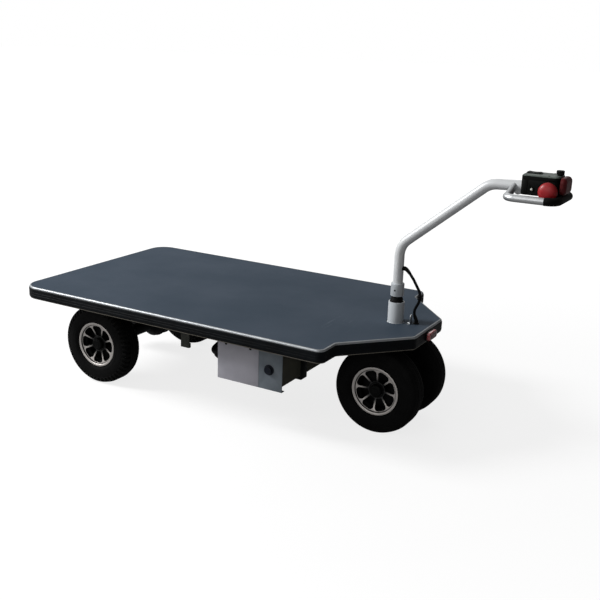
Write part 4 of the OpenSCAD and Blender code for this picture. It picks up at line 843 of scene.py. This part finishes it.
HANDLE_LINE = bent_line(
    [
        (POST_X, 0, NECK_TOP + 0.005), (POST_X, 0, DECK_TOP + 0.223), (POST_X + 0.241, 0, 0.726),
        (HEAD_REAR + 0.018, 0, 0.731)
    ],
    [0.060, 0.060], 4
)
LOOP_LINE = bent_line(
    [
        (LOOP_REAR + 0.006, -0.005, LOOP_Z + 0.022), (LOOP_REAR, -0.044, LOOP_Z),
        (LOOP_REAR, -LOOP_HALF_W, LOOP_Z), (GRIP_X, -LOOP_HALF_W, LOOP_Z), (GRIP_X, LOOP_HALF_W, LOOP_Z),
        (LOOP_REAR, LOOP_HALF_W, LOOP_Z), (LOOP_REAR, 0.044, LOOP_Z),
        (LOOP_REAR + 0.006, 0.005, LOOP_Z + 0.022)
    ],
    [0.016, 0.026, 0.028, 0.028, 0.026, 0.016]
)
GRIP_LINE = bent_line(
    [
        (GRIP_X - 0.029, -LOOP_HALF_W, LOOP_Z), (GRIP_X, -LOOP_HALF_W, LOOP_Z),
        (GRIP_X, LOOP_HALF_W, LOOP_Z), (GRIP_X - 0.029, LOOP_HALF_W, LOOP_Z)
    ],
    [0.028, 0.028]
)
add_piece(tube("bent_tube", HANDLE_LINE, 0.014, 36), "bent_tube", "handle", "tube_steel", ["handle_tube"])
add_piece(tube("loop_rod", LOOP_LINE, 0.0095, 32), "loop_rod", "handle", "bar_aluminium", ["loop_bar"])
add_piece(tube("foam_grip", GRIP_LINE, 0.0105, 32), "foam_grip", "handle", "grip_rubber", ["loop_grip"])


# Dressed copies of CAD solids, with their sharp edges rounded

def dressed(node, width, materials=None):
    """Copy of a node's solid; of two materials, the first one goes on the faces that look up."""
    solid = frame["nodes"][node]
    shape = bmesh.new()
    shape.from_mesh(solid.data)
    bmesh.ops.scale(shape, vec=(1 / MM,) * 3, verts=shape.verts)
    bmesh.ops.remove_doubles(shape, verts=shape.verts, dist=MERGE)
    bmesh.ops.dissolve_limit(
        shape, angle_limit=math.radians(1), use_dissolve_boundaries=False,
        verts=shape.verts, edges=shape.edges
    )
    soften(shape, width, 34)
    name = node + "_dressed"
    mesh = close_shape(shape, name)
    if materials:
        for face in mesh.polygons:
            face.material_index = 0 if face.normal.z > 0.35 else 1
    finish = next(r["material_slot"] for r in frame["record"]["subparts"] if r["node"] == node)
    add_piece(mesh, name, frame["nodes"][node]["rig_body"], finish, [node], 30, materials)


dressed("head_shell", 0.8)
dressed("head_lid", 0.5, [MATERIALS["lid_plastic"], MATERIALS["head_plastic"]])
for node_name, rounding in (
    ("battery_cover", 0.4), ("socket_panel", 0.4), ("cable_clip", 0.4), ("hanger_bracket", 0.6),
    ("axle_brackets", 0.8), ("handle_collar", 0.4), ("head_tube", 0.4), ("transaxle_housing", 0.8),
    ("drive_motor", 0.6), ("bogie_yoke", 0.8), ("tray_straps", 0.4)
):
    dressed(node_name, rounding)


# Controls on the head

def stop_knob():
    """Mushroom button: a plain domed cap on its stem."""
    cap_r, dome_base, dome_h = 24.5, 10.3, 12
    profile = [
        (0, -16), (5.6, -16), (6, -15.6), (6, 4.3), (20.4, 4.3), (22.4, 4.6), (24.0, 5.8), (cap_r, 7.4),
        (cap_r, 10.2)
    ]
    angles = [math.radians(a) for a in range(6, 90, 6)]
    profile += [(cap_r * math.cos(a), dome_base + dome_h * math.sin(a)) for a in angles]
    profile += [(0, dome_base + dome_h)]
    place = Matrix.Translation((HEAD_FRONT - 0.021, -HEAD_SIDE, HEAD_BOTTOM + 0.013)) @ FACE_RIGHT
    shaped(spun(profile, 72), place, "stop_mushroom", "stop_button", "red_plastic", ["stop_button"], 40)


def belly_button():
    """Wide red button over the head's front end, with a shallow thumb recess in its face."""
    height, width, depth = 44, 70, 15.2
    rest = HEAD_FRONT + 0.0043
    middle = HEAD_TOP - 0.002 - height / 2 * MM
    shape, top = slab(rounded_rectangle(height, width, 13.2, 10), 0, depth)
    bevel(shape, list(top.edges), 10.5, 8)
    face = max((f for f in shape.faces if f.normal.z > 0.99), key=lambda f: f.calc_area())
    bmesh.ops.inset_region(shape, faces=[face], thickness=1.2, depth=0)
    bmesh.ops.inset_region(shape, faces=[face], thickness=0.8, depth=-0.7)
    add_to(shape, spun([(0, -16), (8.6, -16), (9, -15.6), (9, 1), (0, 1)], 40))
    place = Matrix.Translation((rest, 0, middle)) @ FACE_FRONT
    shaped(shape, place, "reverse_pad", "reverse_button", "red_plastic", ["reverse_button"], 40, [DARK_RED])


def flute(shape, steps, every, beyond, share):
    """Draws in every few columns of a shape turned in steps, beyond a radius."""
    for vert in shape.verts:
        turn = round(math.degrees(math.atan2(vert.co.y, vert.co.x)) / 360 * steps)
        if math.hypot(vert.co.x, vert.co.y) > beyond and turn % every == 0:
            vert.co.x *= share
            vert.co.y *= share


def dial():
    """Fluted speed knob with a white pointer line on its top."""
    profile = [
        (0, -10), (3, -10), (3, 0), (7, 0), (7, 2.5), (9.6, 2.5), (10, 3), (10, 11.6), (9.4, 12.6), (8.2, 13),
        (5.4, 13), (5.0, 12.7), (0, 12.7)
    ]
    steps = 56
    shape = spun(profile, steps)
    flute(shape, steps, 4, 9, 0.93)
    place = Matrix.Translation((HEAD_FRONT - 0.006, 0, HEAD_TOP + 0.0003))
    shaped(shape, place, "fluted_dial", "speed_knob", "knob_plastic", ["speed_knob"], 24)
    mark, _ = slab(rounded_rectangle(4.6, 0.9, 0.4, 3), 12.6, 12.95)
    shaped(mark, place @ Matrix.Translation((0.0025, 0, 0)), "dial_pointer", "speed_knob", "lamp_green")


def rocker():
    """Rocker cap with rounded edges and two moulded grip ribs at each end."""
    half_l, half_w = 17, 9
    outline = [
        (-half_l + 1, -4), (-half_l / 3, -8), (half_l / 3, -8), (half_l - 1, -4), (half_l - 0.5, 4.5),
        (half_l * 0.5, 3.7), (0, 3.5), (-half_l * 0.5, 3.7), (-half_l + 0.5, 4.5)
    ]
    shape, _ = slab(outline, -half_w, half_w)
    soften(shape, 0.5, 50)
    for side in (-1, 1):
        for step in (9.5, 12.5):
            rib, top = slab(rounded_rectangle(1.1, 12, 0.5, 3), 0, 0.6)
            bevel(rib, list(top.edges), 0.25, 2)
            # The cap's top rises by 0.8 mm from its middle part to its end
            lift = 3.65 + 0.8 * (step - 8.5) / 8
            add_to(shape, rib, Matrix.Translation((side * step, lift, 0)) @ FACE_LEFT)
    place = Matrix.Translation((HEAD_REAR + 0.024, 0, HEAD_TOP)) @ FACE_RIGHT
    shaped(shape, place, "rocker_cap", "direction_rocker", "knob_plastic", ["direction_rocker"], 30)


def lamp():
    """Small white lens in a dark bezel."""
    place = Matrix.Translation((HEAD_REAR + 0.030, -HEAD_SIDE, HEAD_BOTTOM + 0.015)) @ FACE_RIGHT
    bezel = spun([
        (3.4, -2), (6.5, -0.5), (6.5, 0.9), (5.8, 1.8), (4.6, 2.0), (3.9, 1.6), (3.4, 0.9)
    ], 40, closed=True)
    lens = [(0, -3), (4.4, -3), (4.4, -0.2), (3.4, 0.9), (3.1, 2.4), (2.2, 3.6), (1.1, 4.3), (0, 4.5)]
    shaped(bezel, place, "lamp_bezel", "handle", "head_plastic")
    shaped(spun(lens, 36), place, "lamp_lens", "handle", "lamp_green", ["indicator_lamp"])


def cross_screw(radius, height):
    """Pan-head screw with a cross recess, standing on the plane at 0."""
    shape = spun([
        (0, -1), (radius * 0.6, -1), (radius, 0), (radius, height * 0.3), (radius * 0.86, height * 0.75),
        (radius * 0.5, height), (0, height)
    ], 24)
    for turn in (0, 90):
        outline = rounded_rectangle(radius * 1.1, radius * 0.26, radius * 0.1, 2)
        arm, _ = slab(outline, height * 0.98, height * 1.02)
        add_to(shape, arm, Matrix.Rotation(math.radians(turn), 4, "Z"))
    return shape


def hex_bolt(across, height):
    """Hexagon head on a washer, standing on the plane at 0."""
    corner_r = across / 2 / math.cos(math.pi / 6)
    angles = [math.tau * i / 6 for i in range(6)]
    outline = [(corner_r * math.cos(a), corner_r * math.sin(a)) for a in angles]
    shape, _ = slab(outline, 1.2, 1.2 + height)
    soften(shape, 0.4, 50)
    washer = spun([
        (0, -0.5), (across * 0.62, -0.5), (across * 0.68, 0), (across * 0.68, 1.0), (across * 0.62, 1.3),
        (0, 1.3)
    ], 28)
    add_to(shape, washer)
    return shape


def fasteners(name, body, places, make, sizes, turn):
    """One piece for a row of like fasteners; turn takes their axis from Z to where they point."""
    shape = bmesh.new()
    for x, y, z in places:
        add_to(shape, make(*sizes), Matrix.Translation((x / MM, y / MM, z / MM)) @ turn)
    shaped(shape, Matrix(), name, body, "black_steel")


stop_knob()
belly_button()
dial()
rocker()
lamp()
fasteners("lid_screws", "handle", [
    (HEAD_REAR + x, y, HEAD_TOP - 0.0002) for x in (0.0085, 0.068) for y in (-0.0285, 0.0285)
], cross_screw, (2.3, 1.2), UPRIGHT)
fasteners("cover_screws", "chassis", [
    (x, PANEL_Y, 0.246) for x in (TRAY_REAR + 0.028, COVER_END - 0.028)
], cross_screw, (3.8, 1.8), FACE_RIGHT)


# Hardware at the post, the nose and the tray

def nose_light():
    """Red lens with moulded prisms on a black base, on the nose's front."""
    place = Matrix.Translation((FRONT_X, 0, DECK_TOP - 0.020)) @ FACE_FRONT
    base, top = slab(rounded_rectangle(26, 58, 9, 8), 0, 4)
    bevel(base, list(top.edges), 1, 3)
    lens, top = slab(rounded_rectangle(23, 55, 8, 8), 3, 13)
    bevel(lens, list(top.edges), 4, 5)
    for i in range(-5, 6):
        prism, _ = slab(rounded_rectangle(15, 2.2, 1, 3), 12.6, 13.0)
        add_to(lens, prism, Matrix.Translation((0, i * 4, 0)))
    shaped(base, place, "nose_light_base", "chassis", "head_plastic")
    shaped(lens, place, "nose_light_lens", "chassis", "lamp_red", ["nose_lamp"])


def socket():
    """Charge socket with a knurled screw cap and a moulded collar."""
    place = Matrix.Translation((COVER_END + 0.0342, PANEL_Y, 0.198)) @ FACE_RIGHT
    steps = 72
    cap = spun([
        (0, 8.4), (8.6, 8.4), (9.2, 8.8), (10.2, 9.0), (11.4, 8.6), (12, 7.6), (12, 3.4), (0, 3.4)
    ], steps)
    flute(cap, steps, 3, 11.2, 0.955)
    collar = spun([(0, -20), (10, -20), (10, 0), (15, 0), (15, 1.8), (14.2, 2.8), (12.6, 3.3), (0, 3.3)], 60)
    add_to(cap, collar)
    shaped(cap, place, "charge_port", "chassis", "socket_plastic", ["charge_socket"], 26)


nose_light()
socket()
seal = spun([(17.6, 0), (19.8, 0), (19.6, 0.7), (19.0, 1.1), (18.2, 1.1), (17.6, 0.7)], 72, closed=True)
neck_place = Matrix.Translation((POST_X, 0, COLLAR_TOP))
shaped(seal, neck_place, "neck_seal", "chassis", "grip_rubber")
# Flexible sleeve that hides the hinge between the two collars
sleeve = spun([
    (17.3, 1.5), (18.5, 1.5), (18.7, 2.3), (18.1, 3.6), (18.5, 4.9), (17.6, 6.3), (18.0, 7.6), (16.9, 9.2),
    (17.2, 10.6), (15.9, 12.4), (16.1, 13.8), (15.0, 15.4), (14.8, 16.9), (13.6, 16.9), (14.9, 13.6),
    (16.2, 8.4), (17.2, 3.0)
], 72, closed=True)
sleeve_piece = shaped(sleeve, neck_place, "neck_sleeve", None, "grip_rubber")
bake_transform(sleeve_piece)
fasteners("collar_screw", "handle", [
    (POST_X, -0.0188, NECK_TOP + 0.018)
], cross_screw, (2.6, 1.0), FACE_RIGHT)
fasteners("saddle_bolts", "chassis", [
    (AXLE_X + side * 0.027, y, 0.218) for side in (-1, 1) for y in (-0.1762, 0.1682)
], hex_bolt, (9, 5), FACE_RIGHT)
fasteners("strap_bolts", "chassis", [
    (TRAY_FRONT + 0.003, side * 0.182, 0.250) for side in (-1, 1)
], hex_bolt, (9, 4.5), FACE_FRONT)
fasteners("hanger_bolt", "chassis", [(TRAY_REAR - 0.201, -0.187, 0.240)], hex_bolt, (9, 5), FACE_RIGHT)


# Floor, backdrop and light

def seen_shares(tree):
    """Whether a ray is the camera's own, also through a clear part, and whether it is a reflection."""
    paths = add_node(tree, "ShaderNodeLightPath").outputs
    direct = calculate(tree, "MAXIMUM", paths["Is Camera Ray"], paths["Is Transmission Ray"])
    return direct, paths["Is Glossy Ray"]


def studio():
    """White floor that keeps the shadow, a room brighter on one side, and three lamps."""
    scene = bpy.context.scene
    scene.view_settings.view_transform = "Standard"
    mesh = bpy.data.meshes.new("studio_floor")
    floor = put("studio_floor", mesh)
    shape = bmesh.new()
    bmesh.ops.create_grid(shape, x_segments=1, y_segments=1, size=40)
    shape.to_mesh(mesh)
    shape.free()
    material, tree, shader = new_material("studio_floor", "#8c8c8c", 0.95, Specular_IOR_Level=0.05)
    direct, mirrored = seen_shares(tree)
    place = add_node(tree, "ShaderNodeTexCoord").outputs["Object"]
    reach = add_node(tree, "ShaderNodeVectorMath", [(0, place)], operation="LENGTH").outputs["Value"]
    # The lamps fade with distance, and the floor's own white makes up for it
    glow = calculate(tree, "MULTIPLY", direct, value_range(tree, reach, 0.9, 4.5, 0.80, 1.0))
    glow = calculate(tree, "ADD", glow, calculate(tree, "MULTIPLY", mirrored, 0.12))
    shader.inputs["Emission Color"].default_value = (1, 1, 1, 1)
    tree.links.new(glow, shader.inputs["Emission Strength"])
    mesh.materials.append(material)

    world = bpy.data.worlds.new("studio_world")
    scene.world = world
    world.use_nodes = True
    tree = world.node_tree
    ground = tree.nodes["Background"]
    ground.inputs["Color"].default_value = (1, 1, 1, 1)
    direct, mirrored = seen_shares(tree)
    # The room is bright on the photograph's left and dark on its right
    heading = add_node(tree, "ShaderNodeTexCoord").outputs["Generated"]
    leftward = add_node(tree, "ShaderNodeVectorMath", [(0, heading)], operation="DOT_PRODUCT")
    leftward.inputs[1].default_value = (-0.90, -0.42, 0.10)
    toward = leftward.outputs["Value"]
    bounced = value_range(tree, toward, -0.4, 0.7, 0.03, 0.42)
    sheen = value_range(tree, toward, -0.4, 0.6, 0.14, 0.90)
    level = calculate(tree, "MULTIPLY", mirrored, calculate(tree, "SUBTRACT", sheen, bounced))
    level = calculate(tree, "ADD", level, bounced)
    tree.links.new(calculate(tree, "MAXIMUM", level, direct), ground.inputs["Strength"])

    lamps = (
        ("key_lamp", (-3.3, -1.6, 2.9), 1.5, 185),
        ("front_lamp", (0.2, -3.2, 1.9), 2.2, 10),
        ("back_lamp", (-0.6, 3.0, 2.6), 2.4, 14),
    )
    aim = Vector((0, 0, 0.3))
    for name, place, size, power in lamps:
        data = bpy.data.lights.new(name, "AREA")
        data.shape = "DISK"
        data.size = size
        data.energy = power
        lamp_object = put(name, data)
        lamp_object.location = place
        lamp_object.rotation_euler = (aim - Vector(place)).to_track_quat("-Z", "Y").to_euler()


studio()
